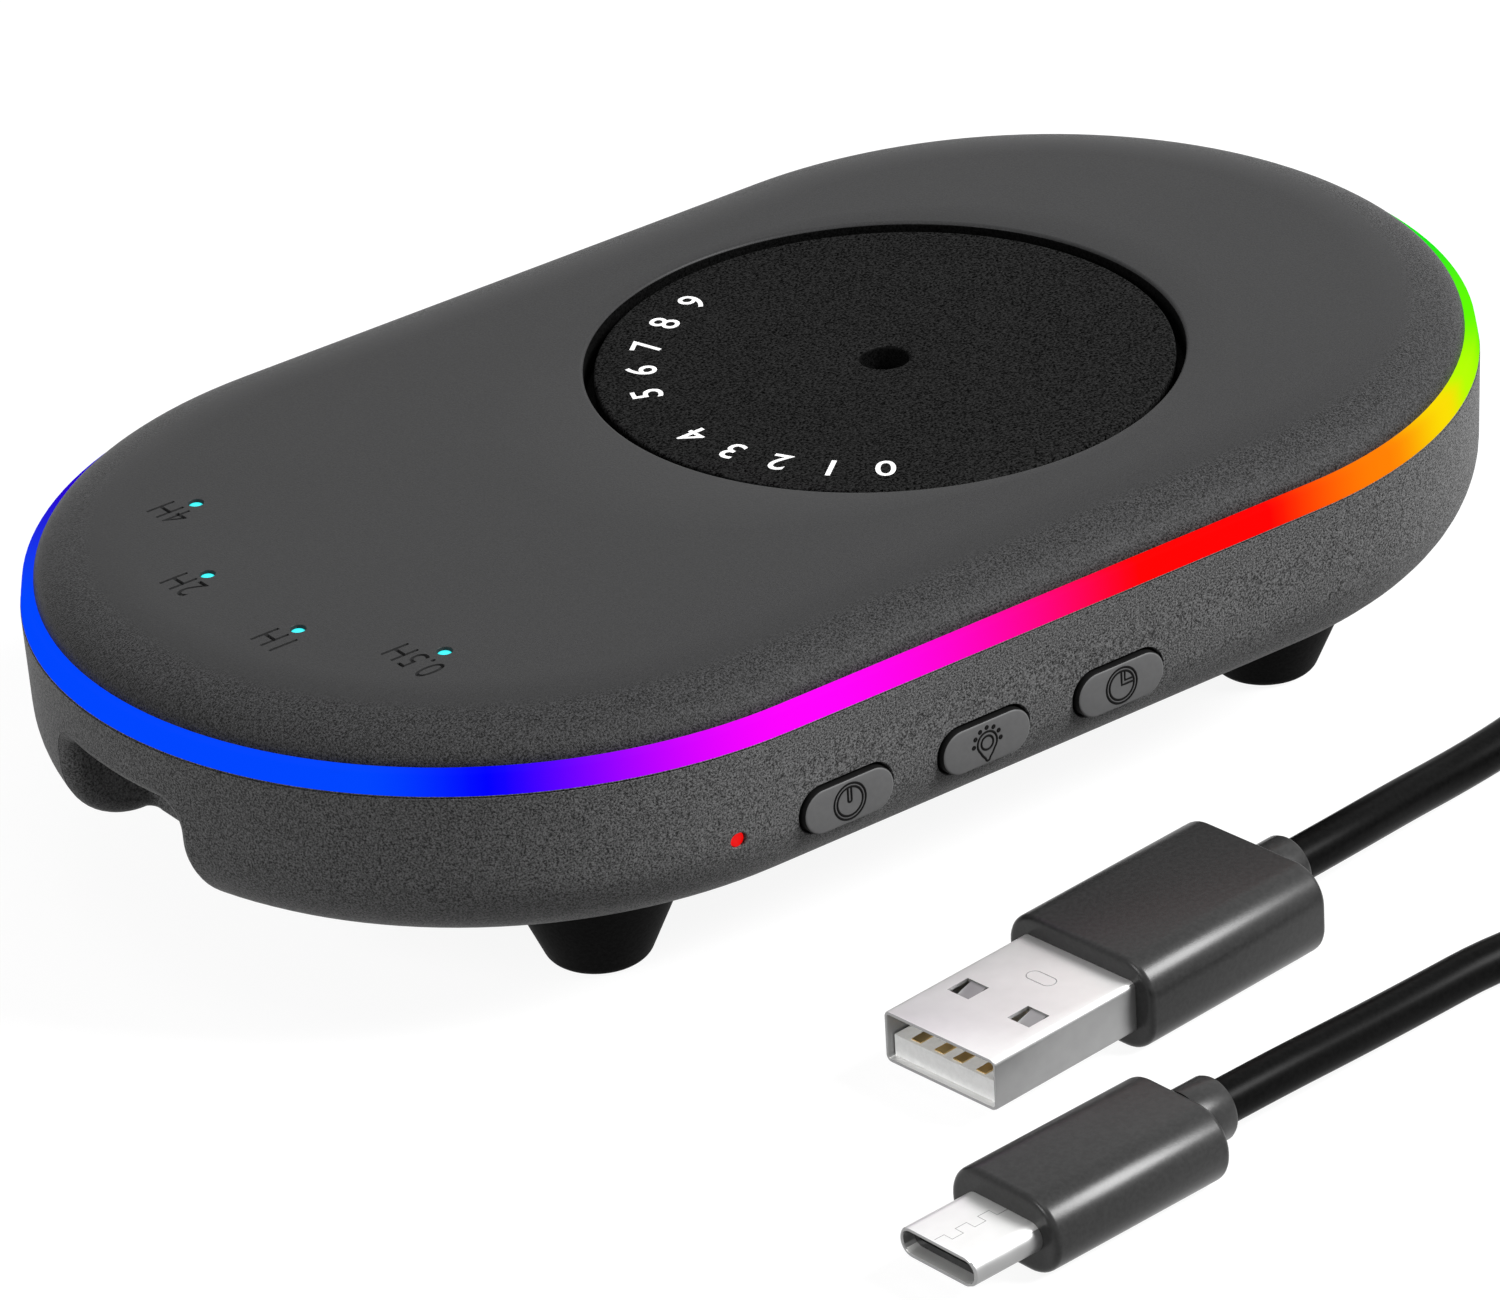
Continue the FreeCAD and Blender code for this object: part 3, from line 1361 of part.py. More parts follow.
def usb_a_plug():
    z = S.plug_a_grip_height / 2
    where = (S.plug_a_x, S.plug_a_y, z, S.plug_a_turn)
    tail = S.plug_tail
    wall = S.metal_wall
    length = S.plug_a_metal + tail
    side = S.plug_a_window
    middle = S.plug_a_window_y + side / 2
    windows = []
    for sy in (-1, 1):
        for sz in (-1, 1):
            windows.append(
                box(f"usb_a_window_{sy + 1}_{sz + 1}", S.plug_a_window_x, sy * middle - side / 2,
                    sz * (S.plug_a_height - wall) / 2 - wall, side, side, wall * 2)
            )
    shell = cut(
        "usb_a_shell",
        box("usb_a_tube", 0, -S.plug_a_width / 2, -S.plug_a_height / 2,
            length, S.plug_a_width, S.plug_a_height),
        box("usb_a_hollow", -1, wall - S.plug_a_width / 2, wall - S.plug_a_height / 2,
            length + 2, S.plug_a_width - wall * 2, S.plug_a_height - wall * 2),
        *windows,
    )
    keep(turned(shell, *where))
    tongue = box("usb_a_tongue", 0.3, 0.1 + wall - S.plug_a_width / 2, wall - S.plug_a_height / 2,
                 length - 0.4, S.plug_a_width - wall * 2 - 0.2, S.plug_a_tongue)
    keep(turned(tongue, *where))
    # the tongue's low corner is moved with the plug: the offset is turned too
    reseat(tongue, where, (0.3, 0.1 + wall - S.plug_a_width / 2, wall - S.plug_a_height / 2))
    grip = cut(
        "usb_a_grip",
        fuse(
            "usb_a_grip_form",
            rounded_bar("usb_a_grip_bar", S.plug_a_metal, S.plug_a_grip_length, S.plug_a_grip_width,
                        S.plug_a_grip_height, S.plug_a_round),
            rod("usb_a_relief", S.plug_a_metal + S.plug_a_grip_length - root, 0, 0, S.relief_radius,
                S.relief_length + root, "x"),
        ),
        box("usb_a_pocket", S.plug_a_metal - 1, -S.plug_a_width / 2, -S.plug_a_height / 2,
            tail + 1, S.plug_a_width, S.plug_a_height),
    )
    keep(turned(grip, *where))
    return lead_out(*where, S.plug_a_metal + S.plug_a_grip_length + S.relief_length)


def reseat(obj, where, corner):
    """Places a turned box by its low corner, given in the plug's own frame."""
    x, y, z, angle = where
    cx, cy, cz = (size(c) for c in corner)
    c, s = cosine(angle), sine(angle)
    place(obj, x + cx * c - cy * s, y + cx * s + cy * c, z + cz)


def usb_c_plug():
    z = S.plug_b_grip_height / 2
    where = (S.plug_b_x, S.plug_b_y, z, S.plug_b_turn)
    tail = S.plug_tail
    wall = S.metal_wall
    length = S.plug_b_metal + tail
    radius = S.plug_b_height / 2 * 0.98
    tube = rounded_bar("usb_c_tube", size(0), length, S.plug_b_width, S.plug_b_height, radius)
    hollow = rounded_bar("usb_c_hollow", size(-1), length + 2, S.plug_b_width - wall * 2,
                         S.plug_b_height - wall * 2, radius - wall)
    keep(turned(cut("usb_c_shell", tube, hollow), *where))
    core = rounded_bar("usb_c_core_bar", size(1.2), length - 1.3, S.plug_b_width - wall * 2 - 0.06,
                       S.plug_b_height - wall * 2 - 0.06, radius - wall - 0.05)
    slot = box("usb_c_slot", 0, -S.plug_b_slot_width / 2, -S.plug_b_slot / 2,
               S.plug_b_slot_depth, S.plug_b_slot_width, S.plug_b_slot)
    keep(turned(cut("usb_c_core", core, slot), *where))
    grip_radius = S.plug_b_grip_height / 2 * 0.98
    grip = cut(
        "usb_c_grip",
        fuse(
            "usb_c_grip_form",
            rounded_bar("usb_c_grip_bar", S.plug_b_metal, S.plug_b_grip_length, S.plug_b_grip_width,
                        S.plug_b_grip_height, grip_radius),
            rod("usb_c_relief", S.plug_b_metal + S.plug_b_grip_length - root, 0, 0, S.relief_radius,
                S.relief_length + root, "x"),
        ),
        rounded_bar("usb_c_pocket", S.plug_b_metal - 1, tail + 1, S.plug_b_width,
                    S.plug_b_height, radius),
    )
    keep(turned(grip, *where))
    return lead_out(*where, S.plug_b_metal + S.plug_b_grip_length + S.relief_length)


def tube(label, points, radius):
    """A round tube along straight runs joined by tangent arcs, each as large as its two runs allow."""
    edges = []
    here = points[0]
    radii = []
    for before, corner, after in zip(points, points[1:], points[2:]):
        run_in, run_out = corner - before, after - corner
        turn = run_in.getAngle(run_out)
        reach = 0.45 * min(run_in.Length, run_out.Length)
        bend = reach / math.tan(turn / 2)
        radii.append(bend)
        toward = run_in.normalize()
        onward = run_out.normalize()
        start = corner - toward * reach
        end = corner + onward * reach
        # the arc's middle lies on the line from the corner to the bend's centre
        inward = (onward - toward).normalize()
        middle = corner + inward * (bend / math.cos(turn / 2) - bend)
        edges.append(Part.LineSegment(here, start).toShape())
        edges.append(Part.Arc(start, middle, end).toShape())
        here = end
    edges.append(Part.LineSegment(here, points[-1]).toShape())
    path = Part.Wire(edges)
    first = (points[1] - points[0]).normalize()
    ring = Part.Wire(Part.Circle(points[0], first, float(radius)).toShape())
    shape = path.makePipeShell([ring], True, False)
    ratio = shape.Volume / (math.pi * float(radius) ** 2 * path.Length)
    print(f"{label}: length {path.Length:.1f}, volume ratio {ratio:.4f}, radii "
          + " ".join(f"{r:.0f}" for r in radii))
    return keep(solid(label, shape))


def cable():
    """A one-metre lead, its middle wound into a tied coil that lies on the desk."""
    radius = S.cable_diameter / 2
    rest = float(radius) + 0.05
    lift = float(S.tie_thick) + 0.1
    layer_1 = lift + rest
    layer_2 = layer_1 + 2 * rest
    tube(
        "cable_to_usb_a",
        [
            *usb_a_plug(),
            Vector(24.2, -51.0, 3.0),
            Vector(31.1, -49.2, 2.1),
            Vector(37.7, -48.0, rest),
            Vector(46.2, -46.0, rest),
            Vector(54.4, -43.7, 2.3),
            Vector(62.4, -42.9, layer_1),
        ],
        radius,
    )
    tube(
        "cable_to_usb_c",
        [
            *usb_c_plug(),
            Vector(-2.8, -75.4, 2.6),
            Vector(5.7, -74.1, 2.0),
            Vector(14.8, -73.2, rest),
            Vector(25.5, -74.8, rest),
            Vector(34.9, -79.8, 2.3),
            Vector(42.0, -87.2, 3.5),
            Vector(51.5, -93.6, 5.3),
            Vector(62.4, -96.1, layer_2),
        ],
        radius,
    )
    height = S.cable_diameter * 2
    keep(
        cut(
            "cable_coil",
            rod("coil_block", S.coil_x, S.coil_y, S.tie_thick + 0.1, S.coil_outer, height),
            rod("coil_eye", S.coil_x, S.coil_y, 0, S.coil_inner, height + 3),
        )
    )
    inner = S.coil_inner - 0.6
    outer = S.coil_outer + 0.2
    strap = S.tie_thick
    keep(
        cut(
            "cable_tie",
            box("tie_block", S.coil_x + inner - strap, S.coil_y - S.tie_width / 2, 0,
                outer - inner + strap * 2, S.tie_width, height + strap * 2 + 0.3),
            box("tie_hollow", S.coil_x + inner, S.coil_y - S.tie_width / 2 - 1, strap,
                outer - inner, S.tie_width + 2, height + 0.3),
        )
    )


# ---------------------------------------------------------------- the whole object

bottom_shell()
light_ring()
top_shell()
feet()
case_screws()
turntable()
gears()
motor()
buttons()
main_board()
power_socket()
status_light()
timer_lights()
led_strip()
cable()
doc.recompute()

faults = []
for obj in doc.Objects:
    if "Invalid" in obj.State or "Error" in obj.State:
        faults.append(f"{obj.Label}: {obj.State}")
for node in nodes:
    if node.Shape.isNull() or not node.Shape.isValid() or not node.Shape.Solids:
        faults.append(f"{node.Label}: bad shape")
if faults:
    raise SystemExit("\n".join(faults))

os.makedirs("parts", exist_ok=True)
for node in nodes:
    node.Shape.exportStep(f"parts/{node.Label}.step")
print(len(nodes), "nodes")
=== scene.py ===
"""A mouse jiggler: a stadium-shaped case on four feet, a turntable in its top that moves under a mouse's sensor,
a light ring, timer lights, three push buttons, and a USB cable that lies unplugged beside it.
Sizes in this file are millimetres; the meshes are in metres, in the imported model's frame."""

import math

import bmesh
import bpy
import numpy as np
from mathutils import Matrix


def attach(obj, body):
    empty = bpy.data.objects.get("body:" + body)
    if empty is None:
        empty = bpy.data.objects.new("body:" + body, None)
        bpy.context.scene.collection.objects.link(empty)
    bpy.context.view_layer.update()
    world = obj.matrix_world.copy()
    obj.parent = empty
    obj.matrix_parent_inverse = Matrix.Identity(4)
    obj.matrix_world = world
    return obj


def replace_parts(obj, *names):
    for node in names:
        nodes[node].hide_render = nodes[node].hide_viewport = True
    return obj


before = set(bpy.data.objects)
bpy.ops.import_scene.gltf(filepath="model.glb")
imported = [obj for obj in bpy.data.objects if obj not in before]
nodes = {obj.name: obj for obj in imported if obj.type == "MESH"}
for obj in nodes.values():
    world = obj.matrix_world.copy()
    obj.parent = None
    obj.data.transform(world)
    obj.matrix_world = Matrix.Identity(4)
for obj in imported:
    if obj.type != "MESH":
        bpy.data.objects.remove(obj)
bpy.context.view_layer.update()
scene = bpy.context.scene
scene.view_settings.view_transform = "Standard"

# ---------------------------------------------------------------- desk, daylight and camera
# A pale desk top under soft studio lamps. The desk and the air show white to the eye and in gloss,
# while the desk's own diffuse colour keeps the gadget's shadow.


def nodes_of(owner, output="OutputMaterial"):
    """The empty node tree of a material or a world: a function that adds nodes, one that links them, and the
    output node. A node's settings are its properties, its inputs' values, or sockets that feed its inputs."""
    owner.use_nodes = True
    tree = owner.node_tree
    tree.nodes.clear()

    def add(kind, **settings):
        node = tree.nodes.new("ShaderNode" + kind)
        for key, value in settings.items():
            if hasattr(node, key):
                setattr(node, key, value)
            elif isinstance(value, bpy.types.NodeSocket):
                tree.links.new(value, node.inputs[key.replace("_", " ")])
            else:
                node.inputs[key.replace("_", " ")].default_value = value
        return node

    return add, tree.links.new, add(output)


def seen_directly(add, link):
    """One where the ray comes from the eye, a reflection or a clear piece, nought where it is soft light."""
    path = add("LightPath")
    total = path.outputs["Is Camera Ray"]
    for name in ("Is Glossy Ray", "Is Transmission Ray"):
        step = add("Math", operation="MAXIMUM")
        link(total, step.inputs[0])
        link(path.outputs[name], step.inputs[1])
        total = step.outputs[0]
    return total


DESK_HALF = 2.5
DESK_SCATTER, DESK_GLOW, AIR_LIGHT = 0.13, 0.91, 0.13
desk_mesh = bpy.data.meshes.new("desk_top")
desk_mesh.from_pydata(
    [(x * DESK_HALF, y * DESK_HALF, 0) for x, y in ((-1, -1), (1, -1), (1, 1), (-1, 1))], [], [(0, 1, 2, 3)]
)
desk = bpy.data.objects.new("desk_top", desk_mesh)
scene.collection.objects.link(desk)
desk_paint = bpy.data.materials.new("desk_pale")
add, link, out = nodes_of(desk_paint)
glow_to_eye, both = add("Math", operation="MULTIPLY"), add("AddShader")
link(seen_directly(add, link), glow_to_eye.inputs[0])
glow_to_eye.inputs[1].default_value = DESK_GLOW
link(add("BsdfDiffuse", Color=(DESK_SCATTER, DESK_SCATTER, DESK_SCATTER, 1)).outputs[0], both.inputs[0])
link(add("Emission", Color=(1, 1, 1, 1), Strength=glow_to_eye.outputs[0]).outputs[0], both.inputs[1])
link(both.outputs[0], out.inputs["Surface"])
desk_mesh.materials.append(desk_paint)

air = bpy.data.worlds.new("air")
scene.world = air
add, link, out = nodes_of(air, "OutputWorld")
air_level = add("MapRange", Value=seen_directly(add, link), To_Min=AIR_LIGHT, To_Max=1.0)
white_air = add("Background", Color=(1, 1, 1, 1), Strength=air_level.outputs["Result"])
link(white_air.outputs[0], out.inputs["Surface"])


def lamp(name, place, size, watts, aim=(0, 0, 0.02)):
    """A square area lamp at place, facing aim; places are metres."""
    light = bpy.data.lights.new(name, "AREA")
    light.size, light.energy = size, watts
    holder = bpy.data.objects.new(name, light)
    scene.collection.objects.link(holder)
    away = np.array(place, float) - np.array(aim, float)
    holder.location = place
    holder.rotation_euler = math.atan2(math.hypot(away[0], away[1]), away[2]), 0, math.atan2(away[0], -away[1])


lamp("lamp_above", (-0.15, -0.10, 0.95), 0.50, 1.5)
lamp("lamp_left", (-0.84, -0.10, 0.50), 0.30, 4.5)
lamp("lamp_front", (0.56, -0.58, 0.70), 0.40, 23.0)

EYE = np.array((-0.366982, -0.504696, 0.340971))
AIM = np.array((-0.005964, -0.004675, 0.009844))
ROLL = math.radians(-3.54)
back = (EYE - AIM) / np.linalg.norm(EYE - AIM)
level = np.cross((0, 0, 1), back)
level /= np.linalg.norm(level)
upright = np.cross(back, level)
right = math.cos(ROLL) * level + math.sin(ROLL) * upright
up = np.cross(back, right)
view = bpy.data.cameras.new("eye")
view.sensor_width, view.lens = 36.0, 204.0
view.clip_start, view.clip_end = 0.02, 20.0
eye = bpy.data.objects.new("eye", view)
scene.collection.objects.link(eye)
eye.matrix_world = np.array(((*right, 0), (*up, 0), (*back, 0), (*EYE, 1))).tolist()
scene.camera = eye

# ---------------------------------------------------------------- lower case
# The tray of the case, injection-moulded in black ABS with a spark-eroded grain: a stadium with a drafted
# wall and a rounded belly. It holds the posts, the screw wells, the button slots and the cable recess.

HALF_STRAIGHT = 27.1
UNDERSIDE, SEAM = 9.2, 23.9
SEAM_RADIUS = 38.6
DRAFT = math.radians(1.5)
BELLY_RADIUS, BELLY_CENTRE = 7.0, 31.396
WALL = 2.0
FLOOR_TOP = UNDERSIDE + WALL
MM = 0.001


def band(points, loop=False, ends=True):
    """The faces of a grid points[i, j]: each joins i to i + 1 and j to j + 1, and the last j meets the first.
    With loop the last i meets the first; else, with ends, one face closes the first and last row. The volume
    that the faces enclose, the sum of their triangles' triple products, tells which way round they face
    outwards."""
    rows, columns = points.shape[:2]
    index = np.arange(rows * columns).reshape(rows, columns)
    across = np.concatenate((index, index[:, :1]), axis=1)
    grid = np.concatenate((across, across[:1]), axis=0) if loop else across
    faces = np.stack((grid[:-1, :-1], grid[:-1, 1:], grid[1:, 1:], grid[1:, :-1]), axis=-1).reshape(-1, 4)
    caps = [index[0, ::-1], index[-1]] if ends and not loop else []
    flat = points.reshape(-1, 3) - points.reshape(-1, 3).mean(0)
    a, b, c, d = (flat[faces[:, n]] for n in range(4))
    volume = np.sum(a * np.cross(b, c)) + np.sum(a * np.cross(c, d))
    volume += sum(np.sum(flat[cap[0]] * np.cross(flat[cap[1:-1]], flat[cap[2:]])) for cap in caps)
    turn = -1 if volume < 0 else 1
    return points.reshape(-1, 3), [list(face[::turn]) for face in faces.tolist() + [cap.tolist() for cap in caps]]


def together(*forms):
    """Several forms as one: their points one after another, their faces' numbers moved along."""
    starts = np.cumsum([0] + [len(form[0]) for form in forms])
    points = np.concatenate([form[0] for form in forms])
    faces = [[n + int(start) for n in face] for form, start in zip(forms, starts) for face in form[1]]
    return points, faces


def piece(name, form, crease=35.0):
    """An object of one form: points in millimetres become metres, doubles are merged, and edges sharper than
    crease degrees stay sharp."""
    mesh = bpy.data.meshes.new(name)
    mesh.from_pydata((np.asarray(form[0]) * MM).tolist(), [], form[1])
    work = bmesh.new()
    work.from_mesh(mesh)
    bmesh.ops.remove_doubles(work, verts=work.verts, dist=2e-7)
    bmesh.ops.dissolve_degenerate(work, edges=work.edges, dist=1e-7)
    work.to_mesh(mesh)
    work.free()
    made = bpy.data.objects.new(name, mesh)
    scene.collection.objects.link(made)
    smooth(made, crease)
    return made


def smooth(made, crease):
    made.data.shade_smooth()
    made.data.set_sharp_from_angle(angle=math.radians(crease))


def carve(blank, cutters, operation="DIFFERENCE", crease=35.0):
    """Cuts the cutters out of the blank, or with UNION joins them to it, and removes them."""
    for cutter in cutters:
        step = blank.modifiers.new(cutter.name, "BOOLEAN")
        step.object, step.operation, step.solver = cutter, operation, "EXACT"
    bpy.context.view_layer.update()
    carved = bpy.data.meshes.new_from_object(blank.evaluated_get(bpy.context.evaluated_depsgraph_get()))
    blank.modifiers.clear()
    carved.name = blank.name
    blank.data = carved
    for cutter in cutters:
        bpy.data.objects.remove(cutter)
    work = bmesh.new()
    work.from_mesh(carved)
    bmesh.ops.remove_doubles(work, verts=work.verts, dist=1e-6)
    bmesh.ops.holes_fill(work, edges=[edge for edge in work.edges if edge.is_boundary], sides=8)
    work.to_mesh(carved)
    work.free()
    smooth(blank, crease)


def stadium_line(per_side=20):
    """The stadium's skeleton points and outward directions, counter-clockwise from the -Y end of the +X arc:
    on an arc the skeleton point rests and the direction turns; on a straight side it slides and the
    direction rests. A contour of radius r is the skeleton plus r times the direction."""
    turn = np.linspace(-math.pi / 2, math.pi / 2, 73)[:-1]
    slide = np.linspace(HALF_STRAIGHT, -HALF_STRAIGHT, per_side + 1)[:-1]
    still = np.full_like(turn, HALF_STRAIGHT)
    zero_end, zero_side = np.zeros_like(turn), np.zeros_like(slide)
    skeleton = np.concatenate([
        np.stack((still, zero_end), -1), np.stack((slide, zero_side), -1),
        np.stack((-still, zero_end), -1), np.stack((-slide, zero_side), -1),
    ])
    outward = np.concatenate([
        np.stack((np.cos(turn), np.sin(turn)), -1), np.stack((zero_side, zero_side + 1), -1),
        np.stack((-np.cos(turn), -np.sin(turn)), -1), np.stack((zero_side, zero_side - 1), -1),
    ])
    return skeleton, outward


def swept(profile, line=None):
    """A profile of (radius, height) rows carried round the stadium."""
    skeleton, outward = line or stadium_line()
    radius, height = np.asarray(profile, float).T
    flat = skeleton[None] + radius[:, None, None] * outward[None]
    return np.concatenate((flat, np.broadcast_to(height[:, None, None], flat.shape[:2] + (1,))), axis=-1)


def case_radius(z, inset=0.0):
    """The case wall's radius at height z: the draft line above the belly's rounding, a quarter circle below."""
    z = np.asarray(z, float)
    line = SEAM_RADIUS - (SEAM - z) * math.tan(DRAFT)
    drop = BELLY_RADIUS * math.sin(DRAFT)
    below = np.clip(UNDERSIDE + BELLY_RADIUS - z, 0, BELLY_RADIUS)
    arc = BELLY_CENTRE + np.sqrt(BELLY_RADIUS**2 - below**2)
    return np.where(z > UNDERSIDE + BELLY_RADIUS - drop, line, arc) - inset


def tray_profile(radius, top, inset):
    """A quarter circle of the given radius about the belly's centre, then the drafted wall up to top."""
    turn = np.linspace(-math.pi / 2, -DRAFT, 15)
    centre_z = UNDERSIDE + BELLY_RADIUS
    arc = np.stack((BELLY_CENTRE + radius * np.cos(turn), centre_z + radius * np.sin(turn)), -1)
    height = np.linspace(arc[-1, 1], top, 9)[1:]
    return np.concatenate((arc, np.stack((case_radius(height, inset), height), -1)))


def turned(profile, place=(0, 0), steps=48):
    """A profile of (radius, height) rows turned about an upright axis at place."""
    angle = np.linspace(0, 2 * math.pi, steps, endpoint=False)
    radius, height = np.asarray(profile, float).T
    x = place[0] + radius[:, None] * np.cos(angle)
    y = place[1] + radius[:, None] * np.sin(angle)
    return band(np.stack((x, y, np.broadcast_to(height[:, None], x.shape)), -1), ends=False)


def rod(radius, low, high, place=(0, 0), steps=48):
    """An upright cylinder from low to high."""
    return turned([(0, low), (radius, low), (radius, high), (0, high)], place, steps)


def pill_line(half_length, radius, steps=64):
    """Points and outward directions of a stadium in the plane, its long way along the first axis."""
    turn = np.linspace(-math.pi / 2, math.pi / 2, steps // 2)
    first = np.stack((np.cos(turn), np.sin(turn)), -1)
    outward = np.concatenate((first, -first))
    shift = np.concatenate((np.full(len(turn), half_length), np.full(len(turn), -half_length)))
    return np.stack((shift, 0 * shift), -1) + radius * outward, outward


def facing_x(line, x):
    """Points (across, up) in the plane at x."""
    return np.concatenate((np.full((len(line), 1), x), line), -1)


def facing_y(line, y, x=0.0, z=0.0):
    """Points (across, up), moved by x and z, in the plane at y, or each at its own y."""
    return np.stack((line[:, 0] + x, np.broadcast_to(y, len(line)), line[:, 1] + z), -1)


def bar(stations, loop=False):
    """Outlines (across, up) carried along x: each station is (along, outline)."""
    return band(np.array([facing_x(line, along) for along, line in stations]), loop=loop)


lower_case = piece("lower_case", band(swept(np.concatenate((
    tray_profile(BELLY_RADIUS, SEAM - 0.22, 0),
    # a narrow groove under the seam
    [(SEAM_RADIUS - 0.25, SEAM - 0.21), (SEAM_RADIUS - 0.25, SEAM - 0.09),
     (SEAM_RADIUS - 0.04, SEAM - 0.08), (SEAM_RADIUS - 0.06, SEAM)],
)))))
hollow = piece("hollow", band(swept(tray_profile(BELLY_RADIUS - WALL, SEAM + 2, WALL))))

# the cable recess: an arch through the end wall and the floor, its walls standing in the hollow
RECESS_HALF, RECESS_BACK, RECESS_TOP = 7.6, -56.7, UNDERSIDE + 9.5
RECESS_CORNER, RECESS_INNER, RECESS_WALL, RECESS_LIP, RECESS_FOOT_LIP = 2.0, 0.8, 1.6, 1.7, 0.5
BEYOND_END, ON_FLOOR = -70.0, 18.70


def arch_line(half, top, corner, foot):
    """An upright arch's points and outward directions: up the +Y leg, round two corners, down the -Y leg,
    and back along the foot."""
    leg = np.linspace(foot, top - corner, 12)
    turn = np.linspace(0, math.pi / 2, 10)
    right_leg = np.stack((np.full_like(leg, half), leg), -1)
    corner_line = np.stack((half - corner + corner * np.cos(turn), top - corner + corner * np.sin(turn)), -1)
    roof_half = np.linspace(half - corner, 0, 8)
    roof = np.stack((roof_half, np.full_like(roof_half, top)), -1)
    right = np.concatenate((right_leg, corner_line[1:], roof[1:]))
    facing = np.concatenate((
        np.tile((1.0, 0.0), (len(right_leg), 1)),
        np.stack((np.cos(turn), np.sin(turn)), -1)[1:],
        np.tile((0.0, 1.0), (len(roof) - 1, 1)),
    ))
    mirror = np.array((-1.0, 1.0))
    line = np.concatenate((right, right[-2::-1] * mirror))
    return line, np.concatenate((facing, facing[-2::-1] * mirror))


def arch_room(half, top, corner, foot, back, inner):
    """An arch carried along x from outside the case to back, where it shrinks by a quarter circle of radius
    inner; each end closes towards one middle point."""
    line, outward = arch_line(half, top, corner, foot)
    rows = [facing_x(line, BEYOND_END)]
    for turn in np.radians(np.linspace(0, 90, 5)):
        rows.append(facing_x(line - outward * inner * (1 - math.cos(turn)), back - inner * (1 - math.sin(turn))))
    middle = np.array((0.0, 0.0, 12.0))
    ends = [[row * (1, k, k) + middle * (1 - k) for k in (0.0, 0.5)] for row in (rows[0], rows[-1])]
    return band(np.array([*ends[0], *rows, *ends[1][::-1]]), ends=False)


def wall_point(y, along, depth):
    """A point depth inside the -X end's outer face: along is the way down the face from the seam, over the
    drafted wall, the belly's quarter circle and the flat underside."""
    wall = (SEAM - UNDERSIDE - BELLY_RADIUS + BELLY_RADIUS * math.sin(DRAFT)) / math.cos(DRAFT)
    belly = BELLY_RADIUS * (math.pi / 2 - DRAFT)
    turn = -DRAFT - np.clip(along - wall, 0, belly) / BELLY_RADIUS
    up_wall, over_floor = np.minimum(along - wall, 0), np.maximum(along - wall - belly, 0)
    radius = BELLY_CENTRE + BELLY_RADIUS * np.cos(turn) - up_wall * math.sin(DRAFT) - over_floor
    height = UNDERSIDE + BELLY_RADIUS + BELLY_RADIUS * np.sin(turn) - up_wall * math.cos(DRAFT)
    x = -HALF_STRAIGHT - np.sqrt(np.maximum(radius**2 - y**2, 1.0))
    return np.stack((x + depth * np.cos(turn), y, height - depth * np.sin(turn)), -1)


def mouth_lip():
    """The rounding of the recess's mouth, as a closed tube along the mouth's loop on the outer face. A row t
    degrees into the roll stands lip * (1 - sin t) outside the loop and lip * (1 - cos t) below the face; the
    lip is smaller along the foot of the back wall. ON_FLOOR is a way down the face that ends on the flat
    underside, from which the foot's place is counted."""
    top = (SEAM - RECESS_TOP) / math.cos(DRAFT)
    reach = -HALF_STRAIGHT - RECESS_BACK
    floor_start = wall_point(np.zeros(1), np.full(1, ON_FLOOR), 0.0)[0, 0]

    def foot(y):
        return ON_FLOOR + (-HALF_STRAIGHT - floor_start) - np.sqrt(reach**2 + y**2)

    back_half = RECESS_HALF - RECESS_INNER
    lean = math.atan2(back_half + 0.17, reach)
    low = foot(back_half + RECESS_INNER * math.sin(lean)) - RECESS_INNER * math.cos(lean)
    turn_up, turn_low = np.linspace(-math.pi / 2, 0, 10), np.linspace(0, math.pi / 2 - lean, 7)
    roof, floor = np.linspace(0, RECESS_HALF - RECESS_CORNER, 8)[:-1], np.linspace(back_half, 0, 9)[1:]
    side = np.linspace(top + RECESS_CORNER, low, 22)[1:-1]
    line = np.concatenate((
        np.stack((roof, np.full_like(roof, top)), -1),
        np.stack((RECESS_HALF - RECESS_CORNER * (1 - np.cos(turn_up)), top + RECESS_CORNER * (1 + np.sin(turn_up))), -1),
        np.stack((np.full_like(side, RECESS_HALF), side), -1),
        np.stack((RECESS_HALF - RECESS_INNER * (1 - np.cos(turn_low)), low + RECESS_INNER * np.sin(turn_low)), -1),
        np.stack((floor, foot(floor)), -1),
    ))
    facing = np.concatenate((
        np.tile((0.0, -1.0), (len(roof), 1)), np.stack((np.cos(turn_up), np.sin(turn_up)), -1),
        np.tile((1.0, 0.0), (len(side), 1)), np.stack((np.cos(turn_low), np.sin(turn_low)), -1),
        np.stack((floor, np.full_like(floor, reach)), -1) / np.hypot(floor, reach)[:, None],
    ))
    mirror = np.array((-1.0, 1.0))
    line = np.concatenate((line, line[-2:0:-1] * mirror))
    facing = np.concatenate((facing, facing[-2:0:-1] * mirror))
    lip = RECESS_LIP - (RECESS_LIP - RECESS_FOOT_LIP) * np.clip(facing[:, 1], 0, 1)
    roll_in = np.radians(np.linspace(12, 90, 8))
    outside, inside = np.full_like(lip, -0.4), np.full_like(lip, -0.3)
    section = [(lip * (1 - math.sin(roll_in[0])), outside)]
    section += [(lip * (1 - math.sin(t)), lip * (1 - math.cos(t))) for t in roll_in]
    section += [(inside, lip), (inside, outside)]
    columns = []
    for out, depth in section:
        place = line + out[:, None] * facing
        columns.append(wall_point(place[:, 0], place[:, 1], depth))
    return band(np.stack(columns, axis=1), loop=True)


